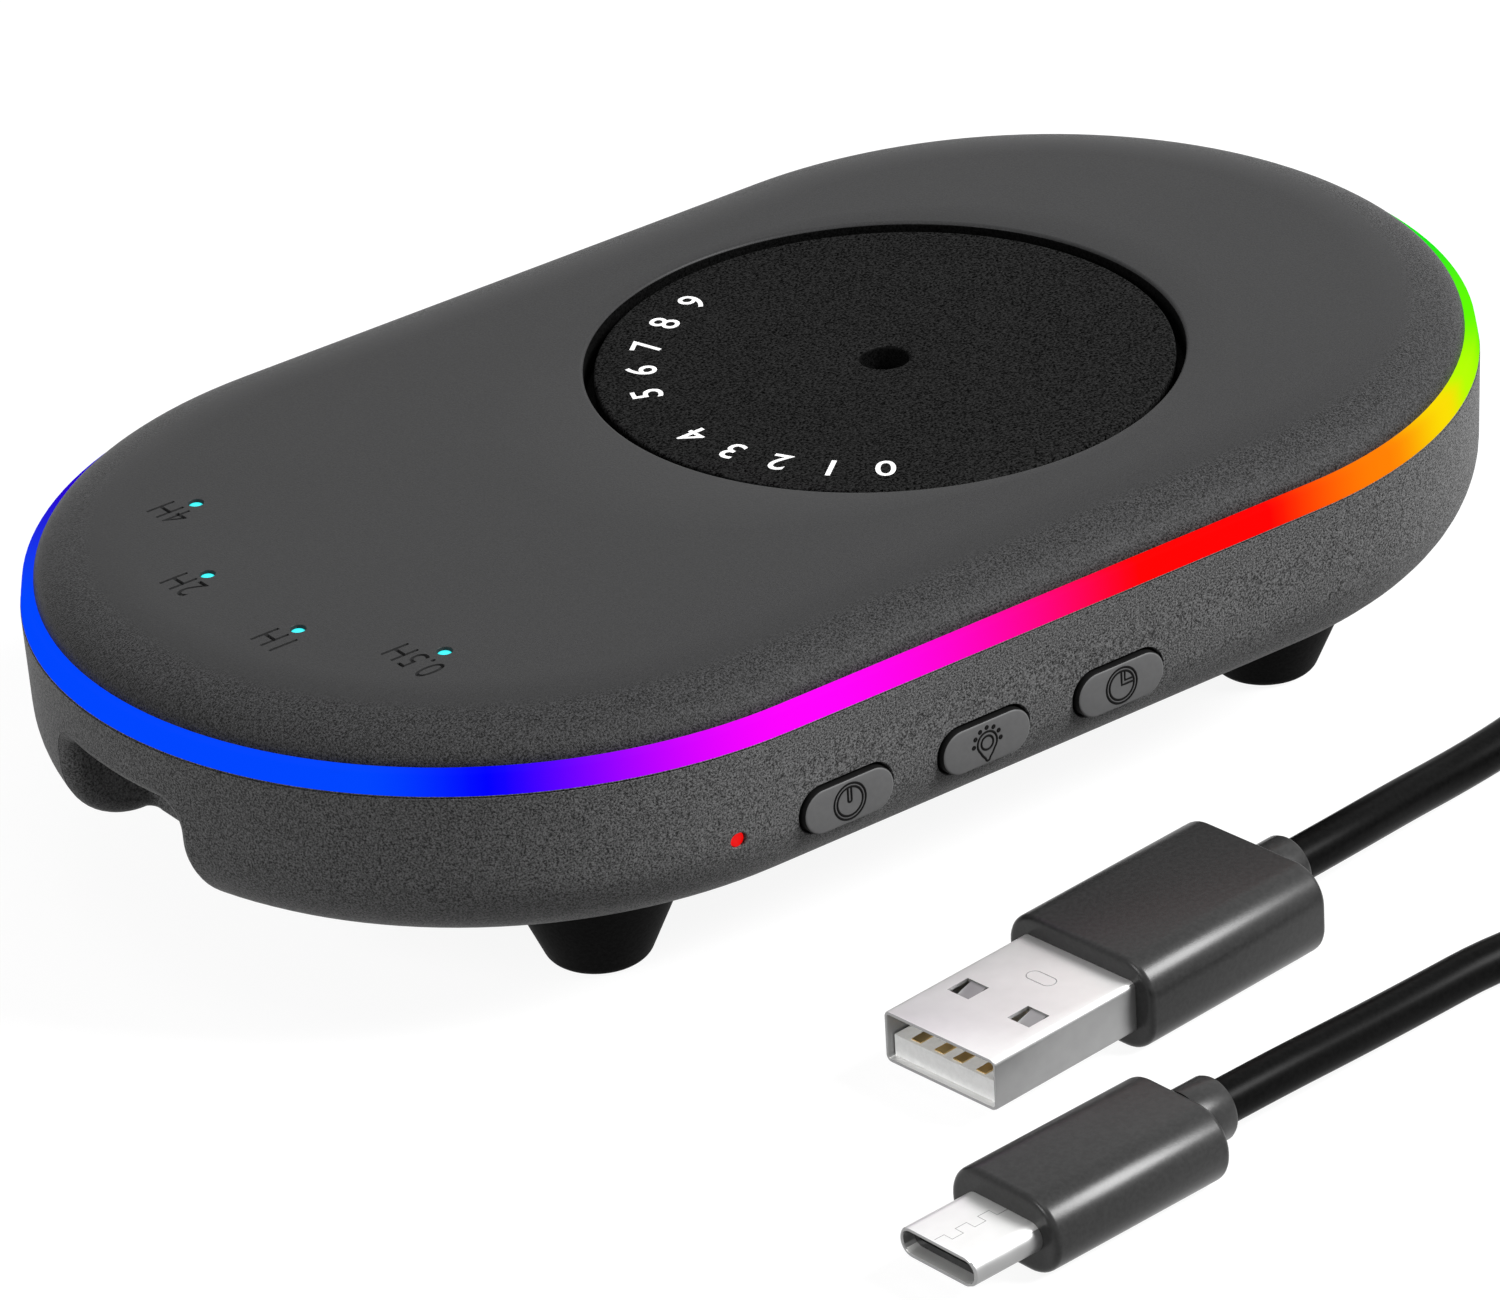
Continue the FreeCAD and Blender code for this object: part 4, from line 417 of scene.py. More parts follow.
recess_room = piece("recess_room", arch_room(
    RECESS_HALF, RECESS_TOP, RECESS_CORNER, UNDERSIDE - 1.5, RECESS_BACK, RECESS_INNER,
))
recess_lip = piece("recess_lip", mouth_lip())
liner = piece("liner", arch_room(
    RECESS_HALF + RECESS_WALL, RECESS_TOP + RECESS_WALL, RECESS_CORNER + RECESS_WALL, 5.0, RECESS_BACK + RECESS_WALL,
    RECESS_INNER + RECESS_WALL,
))
carve(hollow, [liner])

FOOT_X, FOOT_Y = 34.86, 21.74
CORNERS = [(-FOOT_X, -FOOT_Y), (FOOT_X, -FOOT_Y), (FOOT_X, FOOT_Y), (-FOOT_X, FOOT_Y)]
TABLE_X = 12.97
IDLER, MOTOR = (-3.917, 9.75), (-16.957, 13.244)
CLAMP_SCREWS = [(MOTOR[0], MOTOR[1] + side * 13.2) for side in (-1, 1)]
BOARD_SCREWS = [(-49.9, -11.8), (-49.9, 11.8), (-37.41, 11.8), (8.8, -9.2)]
WELL_RADIUS, WELL_TOP, CASE_BOSS_TOP = 3.1, 14.0, 21.9
POST_FOOT = FLOOR_TOP - 0.5

posts = [rod(4.0, POST_FOOT, CASE_BOSS_TOP, place) for place in CORNERS]
bores = [turned([(0, 8), (WELL_RADIUS, 8), (WELL_RADIUS, WELL_TOP), (1.5, WELL_TOP), (1.5, 25), (0, 25)], place)
         for place in CORNERS]
# the other posts: places, radius, top and sides, then the blind hole's radius, floor, cutter's top and sides
for places, radius, top, sides, hole, hole_floor, hole_top, hole_sides in (
    (BOARD_SCREWS, 2.4, 11.9, 48, 1.02, 9.9, 13, 24),
    ([(TABLE_X, 0)], 4.0, 18.9, 48, 2.05, 17.0, 20, 48),
    ([IDLER], 2.6, 16.9, 48, 1.02, 12.2, 20, 24),
    ([MOTOR], 10.25, 13.4, 96, 9.2, FLOOR_TOP + 0.001, 20, 96),
    (CLAMP_SCREWS, 2.4, 16.2, 48, 1.02, 10.2, 20, 24),
):
    posts += [rod(radius, POST_FOOT, top, place, sides) for place in places]
    bores += [rod(hole, hole_floor, hole_top, place, hole_sides) for place in places]

BUTTON_X, BUTTON_Z = (-21.9, -8.1, 5.7), 15.8
SLOT_HALF, SLOT_RADIUS, SEAT_RADIUS = 2.48, 2.15, 2.95
STATUS = (-32.2, 15.9)
BEYOND_SIDE = -42.0


def side_opening(x, z, half, radius, lip, near):
    """A cutter for an opening through the -Y wall, its mouth rolled over by a quarter circle of radius lip.
    A row t degrees into the roll stands lip * (1 - sin t) outside the outline, lip * (1 - cos t) below the
    wall's face. The first row is a little way into the roll, so that the cutter crosses the face and doesn't
    graze it."""
    pill, outward = pill_line(half, radius)
    pill = pill + (x, z)
    turns = np.radians(np.linspace(22, 90, 5))
    rows = [facing_y(pill + lip * (1 - math.sin(turns[0])) * outward, BEYOND_SIDE)]
    for turn in turns:
        line = pill + lip * (1 - math.sin(turn)) * outward
        beyond = np.maximum(np.abs(line[:, 0]) - HALF_STRAIGHT, 0)
        face = -np.sqrt(case_radius(line[:, 1]) ** 2 - beyond**2)
        rows.append(facing_y(line, face + lip * (1 - math.cos(turn))))
    return band(np.array([*rows, facing_y(pill, near)]))


slots = [side_opening(x, BUTTON_Z, SLOT_HALF, SLOT_RADIUS, 0.2, -35.0) for x in BUTTON_X]
slots += [side_opening(*STATUS, 0.05, 0.67, 0.1, -33.5)]
seat_line = pill_line(SLOT_HALF, SEAT_RADIUS)[0]
seats = [band(np.array([facing_y(seat_line, y, x, BUTTON_Z) for y in (WALL - case_radius(BUTTON_Z), -30.0)]))
         for x in BUTTON_X]
socket_line = pill_line(2.89, 1.78)[0] + (0, 14.68)
window = bar([(x, socket_line) for x in (-58.5, -54.8)])

carve(lower_case, [hollow])
carve(lower_case, [piece("posts", together(*posts))], "UNION")
carve(lower_case, [recess_room, recess_lip, piece("bores", together(*bores)), piece("slots", together(*slots)),
                   piece("seats", together(*seats)), piece("window", window)], crease=28)


def noise(add, **settings):
    """The level of a noise in object space."""
    return add("TexNoise", Vector=add("TexCoord").outputs["Object"], **settings).outputs["Fac"]


def two_tones(add, level, dark, light, low=0.0, high=1.0):
    """A colour that goes from dark to light while level goes from low to high."""
    ramp = add("ValToRGB", Fac=level)
    first, last = ramp.color_ramp.elements
    first.position, last.position = low, high
    first.color, last.color = (*dark, 1), (*light, 1)
    return ramp.outputs["Color"]


def grained(name, dark, light, grain, depth, rough, gloss=0.2, smooth_above=None):
    """Moulded plastic with a spark-eroded grain: fine noise in object space speckles the colour between dark
    and light and raises the surface by depth millimetres; grain is the speckle's size in millimetres, gloss
    the specular level. Above the height smooth_above the mould was polished and the grain fades."""
    material = bpy.data.materials.new(name)
    add, link, out = nodes_of(material)
    height = noise(add, Scale=1000 / grain, Detail=3.0, Roughness=0.65)
    broad = noise(add, Scale=60.0, Detail=2.0, Roughness=0.5)
    if smooth_above is not None:
        place = add("SeparateXYZ", Vector=add("TexCoord").outputs["Object"])
        fade = add("MapRange", Value=place.outputs["Z"], From_Min=smooth_above * MM,
                   From_Max=(smooth_above + 0.35) * MM, To_Max=0.85)
        height = add("Mix", Factor=fade.outputs["Result"], A=height, B=0.5).outputs["Result"]
    wear = add("MapRange", Value=broad, To_Min=rough - 0.04, To_Max=rough + 0.04)
    bump = add("Bump", Strength=1.0, Distance=depth * MM, Height=height)
    plastic = add(
        "BsdfPrincipled", Base_Color=two_tones(add, height, dark, light, 0.38, 0.62), IOR=1.5,
        Specular_IOR_Level=gloss, Roughness=wear.outputs["Result"], Normal=bump.outputs["Normal"],
    )
    link(plastic.outputs[0], out.inputs["Surface"])
    return material


def coat(made, *finishes):
    """Takes off what finish an object has and gives it others."""
    made.data.materials.clear()
    for finish in finishes:
        made.data.materials.append(finish)


# The case's copy of the black ABS is painted lighter than the lid's: painted light on its walls.
case_black_painted_light = grained("case_painted_light_grained", (0.012, 0.012, 0.012), (0.140, 0.140, 0.141), 0.16, 0.07, 0.50, 0.08)
coat(lower_case, case_black_painted_light)
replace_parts(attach(lower_case, "case"), "bottom_shell")

# ---------------------------------------------------------------- light ring
# A translucent ring clamped between the two shells, its lip inside the lower one. Coloured LEDs behind it
# make it glow in the colours of the rainbow, which run round the case.

RING_FOOT, RING_HEAD, RING_INNER, RING_TOP, RING_EDGE = 38.55, 38.30, 34.4, 25.8, 0.25
RING_LOW, RING_REST = SEAM - 2.1, RING_INNER + 2.0
roll = np.radians(np.linspace(0, 90, 5))


def rounding(x, y, dx, dy):
    """A quarter ellipse in the corner (x, y), from (x, y + dy) to (x + dx, y)."""
    return [(x + dx * (1 - math.cos(t)), y + dy * (1 - math.sin(t))) for t in roll]


ring_profile = [
    (RING_FOOT, SEAM), (RING_FOOT - 0.05, SEAM + 0.4), *rounding(RING_HEAD, RING_TOP, -RING_EDGE, -RING_EDGE),
    (RING_INNER, RING_TOP), (RING_INNER, RING_LOW), (RING_REST, RING_LOW), (RING_REST, SEAM),
]
ring = piece("glow_ring", band(swept(ring_profile, stadium_line(24)), loop=True), 30)


def round_the_case(made):
    """A UV map whose first number goes from 0 to 1 counter-clockwise round the case, from the +X end, by the
    length of a stadium of the seam's radius; each face keeps to one side of the place where 1 meets 0."""
    mesh = made.data
    co = np.empty(len(mesh.vertices) * 3)
    mesh.vertices.foreach_get("co", co)
    x, y = (co.reshape(-1, 3)[:, :2] / MM).T
    end_x = np.clip(x, -HALF_STRAIGHT, HALF_STRAIGHT)
    angle = np.arctan2(y, x - end_x)
    arc, side = math.pi * SEAM_RADIUS, 2 * HALF_STRAIGHT
    total = 2 * arc + 2 * side
    along = np.select(
        [x > HALF_STRAIGHT, (y > 0) & (x >= -HALF_STRAIGHT), x < -HALF_STRAIGHT],
        [angle * SEAM_RADIUS, arc / 2 + HALF_STRAIGHT - x,
         arc / 2 + side + ((angle % (2 * math.pi)) - math.pi / 2) * SEAM_RADIUS],
        arc * 1.5 + side + x + HALF_STRAIGHT,
    )
    share = (along / total) % 1.0
    corner_vertex = np.empty(len(mesh.loops), int)
    mesh.loops.foreach_get("vertex_index", corner_vertex)
    u = share[corner_vertex]
    starts, counts = np.empty(len(mesh.polygons), int), np.empty(len(mesh.polygons), int)
    mesh.polygons.foreach_get("loop_start", starts)
    mesh.polygons.foreach_get("loop_total", counts)
    face_of = np.repeat(np.arange(len(counts)), counts)
    highest = np.zeros(len(counts))
    np.maximum.at(highest, face_of, u)
    u = np.where((highest[face_of] - u) > 0.5, u + 1.0, u)
    layer = mesh.uv_layers.new(name="round")
    layer.data.foreach_set("uv", np.stack((u, np.zeros_like(u)), -1).ravel())


round_the_case(ring)
glow = bpy.data.materials.new("ring_glow")
add, link, out = nodes_of(glow)
split = add("SeparateXYZ", Vector=add("UVMap", uv_map="round").outputs["UV"])
rainbow = add("ValToRGB", Fac=split.outputs["X"])
rainbow.color_ramp.interpolation = "EASE"
stops = [
    (0.000, (0.0, 0.80, 0.01)), (0.130, (0.0, 0.65, 0.55)), (0.270, (0.0, 0.03, 1.0)), (0.385, (0.02, 0.0, 0.62)),
    (0.450, (0.0, 0.06, 1.0)), (0.572, (0.0, 0.06, 1.0)), (0.602, (0.0, 0.0, 1.0)), (0.677, (1.0, 0.0, 1.0)),
    (0.775, (1.0, 0.0, 0.0)), (0.812, (1.0, 0.0, 0.0)), (0.850, (1.0, 0.22, 0.0)), (0.880, (0.97, 0.74, 0.0)),
    (0.896, (0.47, 1.0, 0.0)), (0.930, (0.12, 0.97, 0.0)), (0.975, (0.01, 0.84, 0.01)),
]
elements = rainbow.color_ramp.elements
elements.remove(elements[1])
elements[0].position, elements[0].color = stops[0][0], (*stops[0][1], 1)
for position, colour in stops[1:]:
    elements.new(position).color = (*colour, 1)
ring_plastic = add("BsdfPrincipled", Base_Color=(0.001, 0.001, 0.001, 1), Roughness=0.5, Specular_IOR_Level=0.0,
                   Emission_Color=rainbow.outputs["Color"], Emission_Strength=1.0)
link(ring_plastic.outputs[0], out.inputs["Surface"])
coat(ring, glow)
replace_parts(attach(ring, "case"), "light_ring")

# ---------------------------------------------------------------- top case
# The lid, moulded in the same black ABS as the case, its tone painted darker as painted shade on the top: a flat top
# with the turntable's round well, an edge that falls in a quarter ellipse to the light ring, and four holes and sunk
# numerals for the timer lights.

TOP_FACE, CROWN_START, CROWN_RADIUS = 29.0, 29.0, 37.35
PLATE_BASE, BUSH_RADIUS, BUSH_WALL, BUSH_BASE = 27.2, 5.22, 7.0, 22.7
WELL_RADIUS_TOP, WELL_EDGE, WELL_FLOOR, WELL_FLOOR_BASE, CUP_RADIUS = 25.0, 0.35, 25.95, 24.35, 26.6
LIP_OUTER, LIP_INNER, LIP_LOW = 34.2, 32.6, 24.45

lid_line = stadium_line(36)
lid_edge = lid_line[0] + SEAM_RADIUS * lid_line[1]
lid_angle = np.arctan2(lid_edge[:, 1], lid_edge[:, 0] - TABLE_X)


def well_ring(radius, height):
    """A circle about the turntable's axis, its points on the rays to the lid's edge points."""
    x, y = TABLE_X + radius * np.cos(lid_angle), radius * np.sin(lid_angle)
    return np.stack((x, y, np.full_like(lid_angle, height)), -1)


def lid_ring(radius, height):
    """A stadium about the lid's middle."""
    return swept([(radius, height)], lid_line)[0]


lid_rows = [well_ring(radius, WELL_FLOOR) for radius in (BUSH_RADIUS, 14, WELL_RADIUS_TOP)]
lid_rows += [well_ring(*corner) for corner in rounding(WELL_RADIUS_TOP, TOP_FACE, WELL_EDGE, -WELL_EDGE)]
well_edge, crown_edge = lid_rows[-1], lid_ring(CROWN_START, TOP_FACE)
lid_rows += [well_edge + (crown_edge - well_edge) * share for share in (0.25, 0.5, 0.75)]
lid_rows += [
    lid_ring(CROWN_START + (CROWN_RADIUS - CROWN_START) * math.cos(t), RING_TOP + (TOP_FACE - RING_TOP) * math.sin(t))
    for t in np.radians(np.linspace(90, 0, 19))
]
lid_rows += [lid_ring(*corner) for corner in (
    (LIP_OUTER, RING_TOP), (LIP_OUTER, LIP_LOW), (LIP_INNER, LIP_LOW), (LIP_INNER, PLATE_BASE),
)]
lid_rows += [well_ring(*corner) for corner in (
    (CUP_RADIUS, PLATE_BASE), (CUP_RADIUS, WELL_FLOOR_BASE), (BUSH_WALL, WELL_FLOOR_BASE), (BUSH_WALL, BUSH_BASE),
    (BUSH_RADIUS, BUSH_BASE),
)]
lid = piece("lid", band(np.array(lid_rows), loop=True), 30)

LIGHT_CIRCLE, LIGHT_HOLE, LIGHT_MOUTH = 24.4, 0.65, 0.76
LIGHTS = [(-HALF_STRAIGHT + LIGHT_CIRCLE * math.cos(a), LIGHT_CIRCLE * math.sin(a))
          for a in map(math.radians, (135, 165, 195, 225))]
lid_posts = [rod(3.5, 22.1, PLATE_BASE + 0.5, place) for place in CORNERS]
lid_posts += [rod(1.5, 23.3, PLATE_BASE + 0.5, (-49.4, side * 13.39), 24) for side in (-1, 1)]
light_holes = [turned([(0, 26), (LIGHT_HOLE, 26), (LIGHT_HOLE, TOP_FACE - 0.04), (LIGHT_MOUTH, TOP_FACE + 0.07),
                       (LIGHT_MOUTH, 31), (0, 31)], place, 40) for place in LIGHTS]
pilots = [rod(1.32, 21, 25.8, place, 32) for place in CORNERS]


def lettering(text, height, depth, gap=1.0, thicken=0.0, width=1.0):
    """Flat letters as a form in millimetres: the text's outline, its capitals height tall and width times as
    wide as they are drawn, its middle at the origin, from depth below nought to depth above it; bold strokes
    come from moving the outline outwards."""
    curve = bpy.data.curves.new("words", "FONT")
    curve.body, curve.size, curve.space_character = text, 1.0, gap
    curve.align_x, curve.align_y = "CENTER", "CENTER"
    curve.extrude, curve.offset, curve.resolution_u = 0.5, thicken, 6
    holder = bpy.data.objects.new("words", curve)
    scene.collection.objects.link(holder)
    bpy.context.view_layer.update()
    flat = bpy.data.meshes.new_from_object(holder.evaluated_get(bpy.context.evaluated_depsgraph_get()))
    points = np.empty(len(flat.vertices) * 3)
    flat.vertices.foreach_get("co", points)
    points = points.reshape(-1, 3)
    faces = [list(face.vertices) for face in flat.polygons]
    bpy.data.objects.remove(holder)
    low, high = points.min(0), points.max(0)
    scale = height / (high[1] - low[1])
    points = (points - (low + high) / 2) * (width * scale, scale, 2 * depth)
    return points, faces


def turning(angle):
    """The matrix that turns rows of points by angle degrees in the plane."""
    c, s = math.cos(math.radians(angle)), math.sin(math.radians(angle))
    return np.array(((c, s, 0), (-s, c, 0), (0, 0, 1)))


def turn_flat(form, angle, place, lift):
    """A form turned by angle degrees in the plane, then moved to place and lifted."""
    return form[0] @ turning(angle) + (*place, lift), form[1]


HOURS = {"4H": (-46.87, 17.12), "2H": (-53.08, 6.09), "1H": (-53.10, -6.51), "0.5H": (-47.05, -16.94)}
sunk_words = [
    piece("hours_" + str(i), turn_flat(lettering(text, 2.7, 0.22, gap=1.08, width=0.72), 90.0, place, TOP_FACE))
    for i, (text, place) in enumerate(HOURS.items())
]
carve(lid, [piece("lid_posts", together(*lid_posts))], "UNION")
carve(lid, [piece("light_holes", together(*light_holes)), piece("pilots", together(*pilots)), *sunk_words], crease=28)
# The lid's copy of the same black ABS is painted darker than the case's: painted shade on the top.
lid_black_painted_shade = grained("lid_painted_shade_grained", (0.003, 0.003, 0.003), (0.045, 0.045, 0.046), 0.16, 0.08, 0.42, 0.08,
                    smooth_above=28.4)
# Near-black for the well and the hub's hole: painted shade in these hollows of the same black ABS.
well_painted_shade = grained("well_painted_shade_grained", (0.0005, 0.0005, 0.0005), (0.004, 0.004, 0.004), 0.20, 0.02, 0.55, 0.02)


def second_where(made, kind, chosen):
    """The second finish on the faces that chosen picks by their "center", in millimetres, or their "normal"."""
    rows = np.empty(len(made.data.polygons) * 3)
    made.data.polygons.foreach_get(kind, rows)
    x, y, z = rows.reshape(-1, 3).T / (MM if kind == "center" else 1)
    made.data.polygons.foreach_set("material_index", chosen(x, y, z).astype(int))


coat(lid, lid_black_painted_shade, well_painted_shade)
# The well's wall and floor take the near-black: painted shade.
second_where(lid, "center", lambda x, y, z: (
    (np.hypot(x - TABLE_X, y) < WELL_RADIUS_TOP + 0.03) & (z > WELL_FLOOR - 0.1)
))
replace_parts(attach(lid, "case"), "top_shell")

# ---------------------------------------------------------------- turntable
# The disc that turns under the mouse's sensor, moulded with its hub in black ABS of a finer grain. A screw
# in the bottom of the hub's hole holds the steel spindle; ten white numerals are printed near the edge.

DISC_RADIUS, DISC_FACE, DISC_BASE, DISC_EDGE = 24.15, 28.55, 26.55, 0.25
HUB_RADIUS, HUB_HOLE, HUB_EDGE, HUB_FLOOR, HUB_LOW = 4.0, 2.05, 0.3, 25.2, 22.2
SCREW_RADIUS, SPINDLE_RADIUS, SPINDLE_TOP = 1.05, 2.02, 24.02
DISC_STEPS = 180
disc_profile = [
    (SCREW_RADIUS, HUB_FLOOR), (HUB_HOLE - 0.01, HUB_FLOOR), *rounding(HUB_HOLE, DISC_FACE, HUB_EDGE, -HUB_EDGE),
    (8.0, DISC_FACE), (16.0, DISC_FACE),
    *[(radius, z) for z, radius in rounding(DISC_FACE, DISC_RADIUS, -DISC_EDGE, -DISC_EDGE)],
    (DISC_RADIUS, DISC_BASE), (5.5, DISC_BASE), (5.5, 26.25), (HUB_RADIUS, 26.25), (HUB_RADIUS, HUB_LOW),
    (SPINDLE_RADIUS, HUB_LOW), (SPINDLE_RADIUS, SPINDLE_TOP), (SCREW_RADIUS, SPINDLE_TOP),
]
disc_points = turned(disc_profile, (TABLE_X, 0), DISC_STEPS)[0].reshape(len(disc_profile), DISC_STEPS, 3)
disc = piece("turning_disc", band(disc_points, loop=True), 30)
disc_black = grained("disc_black_grained", (0.0, 0.0, 0.0), (0.018, 0.018, 0.018), 0.22, 0.12, 0.55, 0.003)
# The inside of the hub's hole takes the near-black: painted shade.
coat(disc, disc_black, well_painted_shade)
second_where(disc, "center", lambda x, y, z: (np.hypot(x - TABLE_X, y) < HUB_HOLE + 0.2) & (z < DISC_FACE - 0.1))
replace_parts(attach(disc, "turntable"), "turntable_disc")

NUMERAL_CIRCLE, FIRST_BEARING, BEARING_STEP = 20.2, -128.0, 12.7
numerals = []
for figure, step in zip("0123456789", (0, 1, 2, 3, 4, 6, 7, 8, 9, 10)):
    bearing = FIRST_BEARING - BEARING_STEP * step
    a = math.radians(bearing)
    place = TABLE_X + NUMERAL_CIRCLE * math.cos(a), NUMERAL_CIRCLE * math.sin(a)
    numerals.append(turn_flat(lettering(figure, 2.65, 0.012, thicken=0.006), bearing - 90.0, place, DISC_FACE))
numeral_print = piece("disc_numerals", together(*numerals))


def plain_finish(name, dark, light, scale, rough, metal=0.0, bump=0.004, strength=0.5, gloss=0.5):
    """A finish for a small part: noise in object space between two tones, with a faint bump, which is left
    out where its height, bump millimetres, is nought."""
    material = bpy.data.materials.new(name)
    add, link, out = nodes_of(material)
    fine = noise(add, Scale=scale, Detail=2.0)
    body = add("BsdfPrincipled", Base_Color=two_tones(add, fine, dark, light), Metallic=metal, Roughness=rough,
               Specular_IOR_Level=gloss)
    if bump:
        raised = add("Bump", Strength=strength, Distance=bump * MM, Height=fine)
        link(raised.outputs["Normal"], body.inputs["Normal"])
    link(body.outputs[0], out.inputs["Surface"])
    return material


coat(numeral_print, plain_finish("print_white", (0.62, 0.62, 0.62), (0.86, 0.86, 0.86), 2500, 0.5, bump=0))
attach(numeral_print, "turntable")

# ---------------------------------------------------------------- feet
# Four cones of moulded black rubber with rounded tips, on which the case stands. Each one's peg is pressed
# into the well that hides a case screw.

FOOT_TIP, FOOT_LEAN, FOOT_ROUND, PEG_RADIUS = 4.12, math.radians(23.5), 1.33, 3.05
cone_top = FOOT_TIP + UNDERSIDE * math.tan(FOOT_LEAN)
round_centre = FOOT_TIP - FOOT_ROUND * math.tan((math.pi / 2 - FOOT_LEAN) / 2)
foot_profile = [(0, 0)]
foot_profile += [(round_centre + FOOT_ROUND * math.cos(t), FOOT_ROUND + FOOT_ROUND * math.sin(t))
                 for t in np.linspace(-math.pi / 2, -FOOT_LEAN, 9)]
foot_profile += [(cone_top - 0.01, UNDERSIDE - 0.02), (PEG_RADIUS, UNDERSIDE - 0.02), (PEG_RADIUS, UNDERSIDE + 2.3),
                 (PEG_RADIUS - 0.2, UNDERSIDE + 2.5), (0, UNDERSIDE + 2.5)]
foot_rubber = grained("foot_rubber_grained", (0.001, 0.001, 0.001), (0.005, 0.005, 0.005), 0.35, 0.02, 0.60, 0.02)
for name, place in zip(("front_left", "front_right", "back_right", "back_left"), CORNERS):
    foot = piece("foot_pad_" + name, turned(foot_profile, place, 96), 40)
    coat(foot, foot_rubber)
    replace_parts(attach(foot, "case"), "foot_" + name)

# ---------------------------------------------------------------- push buttons
# Three pill-shaped keys of smoother dark grey plastic, held behind the wall by a flange, each with a pictogram: power,
# lamp and clock, drawn in near-black lines that stand a little proud. These lines and the keys' sides are painted
# near-black: painted shade. A stem at the back of each presses its switch.

CAP_RADIUS, CAP_FACE, CAP_EDGE, SIGN_LINE = 1.95, -38.85, 0.22, 0.11
FLANGE_RADIUS, FLANGE_FRONT, FLANGE_BACK, STEM_RADIUS, STEM_END = 2.75, -36.19, -35.19, 1.5, -33.1


def key_rows(x):
    """A pill's outline carried inwards from the face: face, rounded edge, side, flange, then the stem."""
    steps = [(0.0, 0.0, CAP_FACE), (SLOT_HALF * 0.5, (CAP_RADIUS - CAP_EDGE) * 0.5, CAP_FACE)]
    steps += [(SLOT_HALF, radius, y) for y, radius in rounding(CAP_FACE, CAP_RADIUS, CAP_EDGE, -CAP_EDGE)]
    steps += [(SLOT_HALF, radius, y) for radius, y in (
        (CAP_RADIUS, FLANGE_FRONT), (FLANGE_RADIUS, FLANGE_FRONT), (FLANGE_RADIUS, FLANGE_BACK),
    )]
    steps += [(0.0, radius, y) for radius, y in ((STEM_RADIUS, FLANGE_BACK), (STEM_RADIUS, STEM_END), (0.0, STEM_END))]
    return np.array([facing_y(pill_line(half, radius)[0], y, x, BUTTON_Z) for half, radius, y in steps])


def tube(path, thick, steps, sunk, closed):
    """A thin tube along path, points of a plane, as rows of (first, second, height above the plane). Its
    section is an ellipse that turns with the path, its middle sunk by a share of thick."""
    path = np.asarray(path, float)
    ahead = np.roll(path, -1, 0) - np.roll(path, 1, 0) if closed else np.gradient(path, axis=0)
    ahead /= np.linalg.norm(ahead, axis=1)[:, None]
    aside = np.stack((-ahead[:, 1], ahead[:, 0]), -1)
    turn = np.linspace(0, 2 * math.pi, steps, endpoint=False)
    flat = path[:, None] + aside[:, None] * (thick * np.cos(turn))[None, :, None]
    lift = np.broadcast_to(thick * (0.6 * np.sin(turn) - sunk), flat.shape[:2])
    return np.concatenate((flat, lift[..., None]), -1)


def bead(path, x, closed):
    """A near-black line on a key's face, along points (across, up) from the key's middle; it stands a little proud.
    Its near-black is painted shade along the edges of the pictogram.
    """
    across, up, lift = np.moveaxis(tube(path, SIGN_LINE, 10, 0.15, closed), -1, 0)
    return band(np.stack((across + x, CAP_FACE - lift, up + BUTTON_Z), -1), loop=closed)


def arc_path(radius, start, stop, steps, middle=(0, 0)):
    """Points of an arc, from start to stop degrees."""
    angle = np.radians(np.linspace(start, stop, steps))
    return np.stack((middle[0] + radius * np.cos(angle), middle[1] + radius * np.sin(angle)), -1)


def whole(radius, steps=48, middle=(0, 0)):
    """A circle as a sign's closed line."""
    return arc_path(radius, 0, 360, steps + 1, middle)[:-1], True


def joined(*paths, closed=False):
    """Paths one after another as a sign's single line."""
    return np.concatenate(paths), closed


power_sign = [whole(1.56), whole(1.26), joined(
    np.linspace((-0.17, 1.22), (-0.17, 0.1), 4), arc_path(0.17, 180, 360, 8, (0, 0.1)),
    np.linspace((0.17, 0.1), (0.17, 1.22), 4),
)]
lamp_sign = [whole(0.60, 32), joined(
    arc_path(0.98, -42, 222, 34), np.linspace((-0.50, -1.05), (-0.22, -1.38), 3),
    arc_path(0.20, 190, 350, 8, (0, -1.42)), np.linspace((0.22, -1.38), (0.50, -1.05), 3), closed=True,
)]
lamp_sign += [whole(0.12, 8, (1.36 * math.cos(a), 1.36 * math.sin(a))) for a in np.radians(np.linspace(0, 180, 7))]
clock_sign = [
    whole(1.56), whole(1.26), joined(np.linspace((0, 1.26), (0, 0), 4), np.linspace((0, 0), (1.26, 0), 4)[1:]),
    joined([(0.34, 1.20), (0.34, 0.34), (1.20, 0.34)]),
]

button_grey = grained("button_grey_smooth", (0.086, 0.086, 0.087), (0.092, 0.092, 0.093), 0.5, 0.002, 0.5, 0.16)
# Near-black for the keys' sides and the pictograms' lines: painted shade.
key_painted_shade = plain_finish("button_painted_shade", (0.003, 0.003, 0.003), (0.006, 0.006, 0.006), 900, 0.6, gloss=0.05)
for name, x, sign in zip(("power", "light", "timer"), BUTTON_X, (power_sign, lamp_sign, clock_sign)):
    key = piece(name + "_key", band(key_rows(x), ends=False), 40)
    # The key's sides take the near-black: painted shade.
    coat(key, button_grey, key_painted_shade)
    second_where(key, "normal", lambda x, y, z: y > -0.8)
    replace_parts(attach(key, name + "_button_body"), name + "_button")
    # The pictogram's lines take the near-black: painted shade.
    lines = piece(name + "_sign", together(*[bead(path, x, closed) for path, closed in sign]), 60)
    coat(lines, key_painted_shade)
    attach(lines, name + "_button_body")

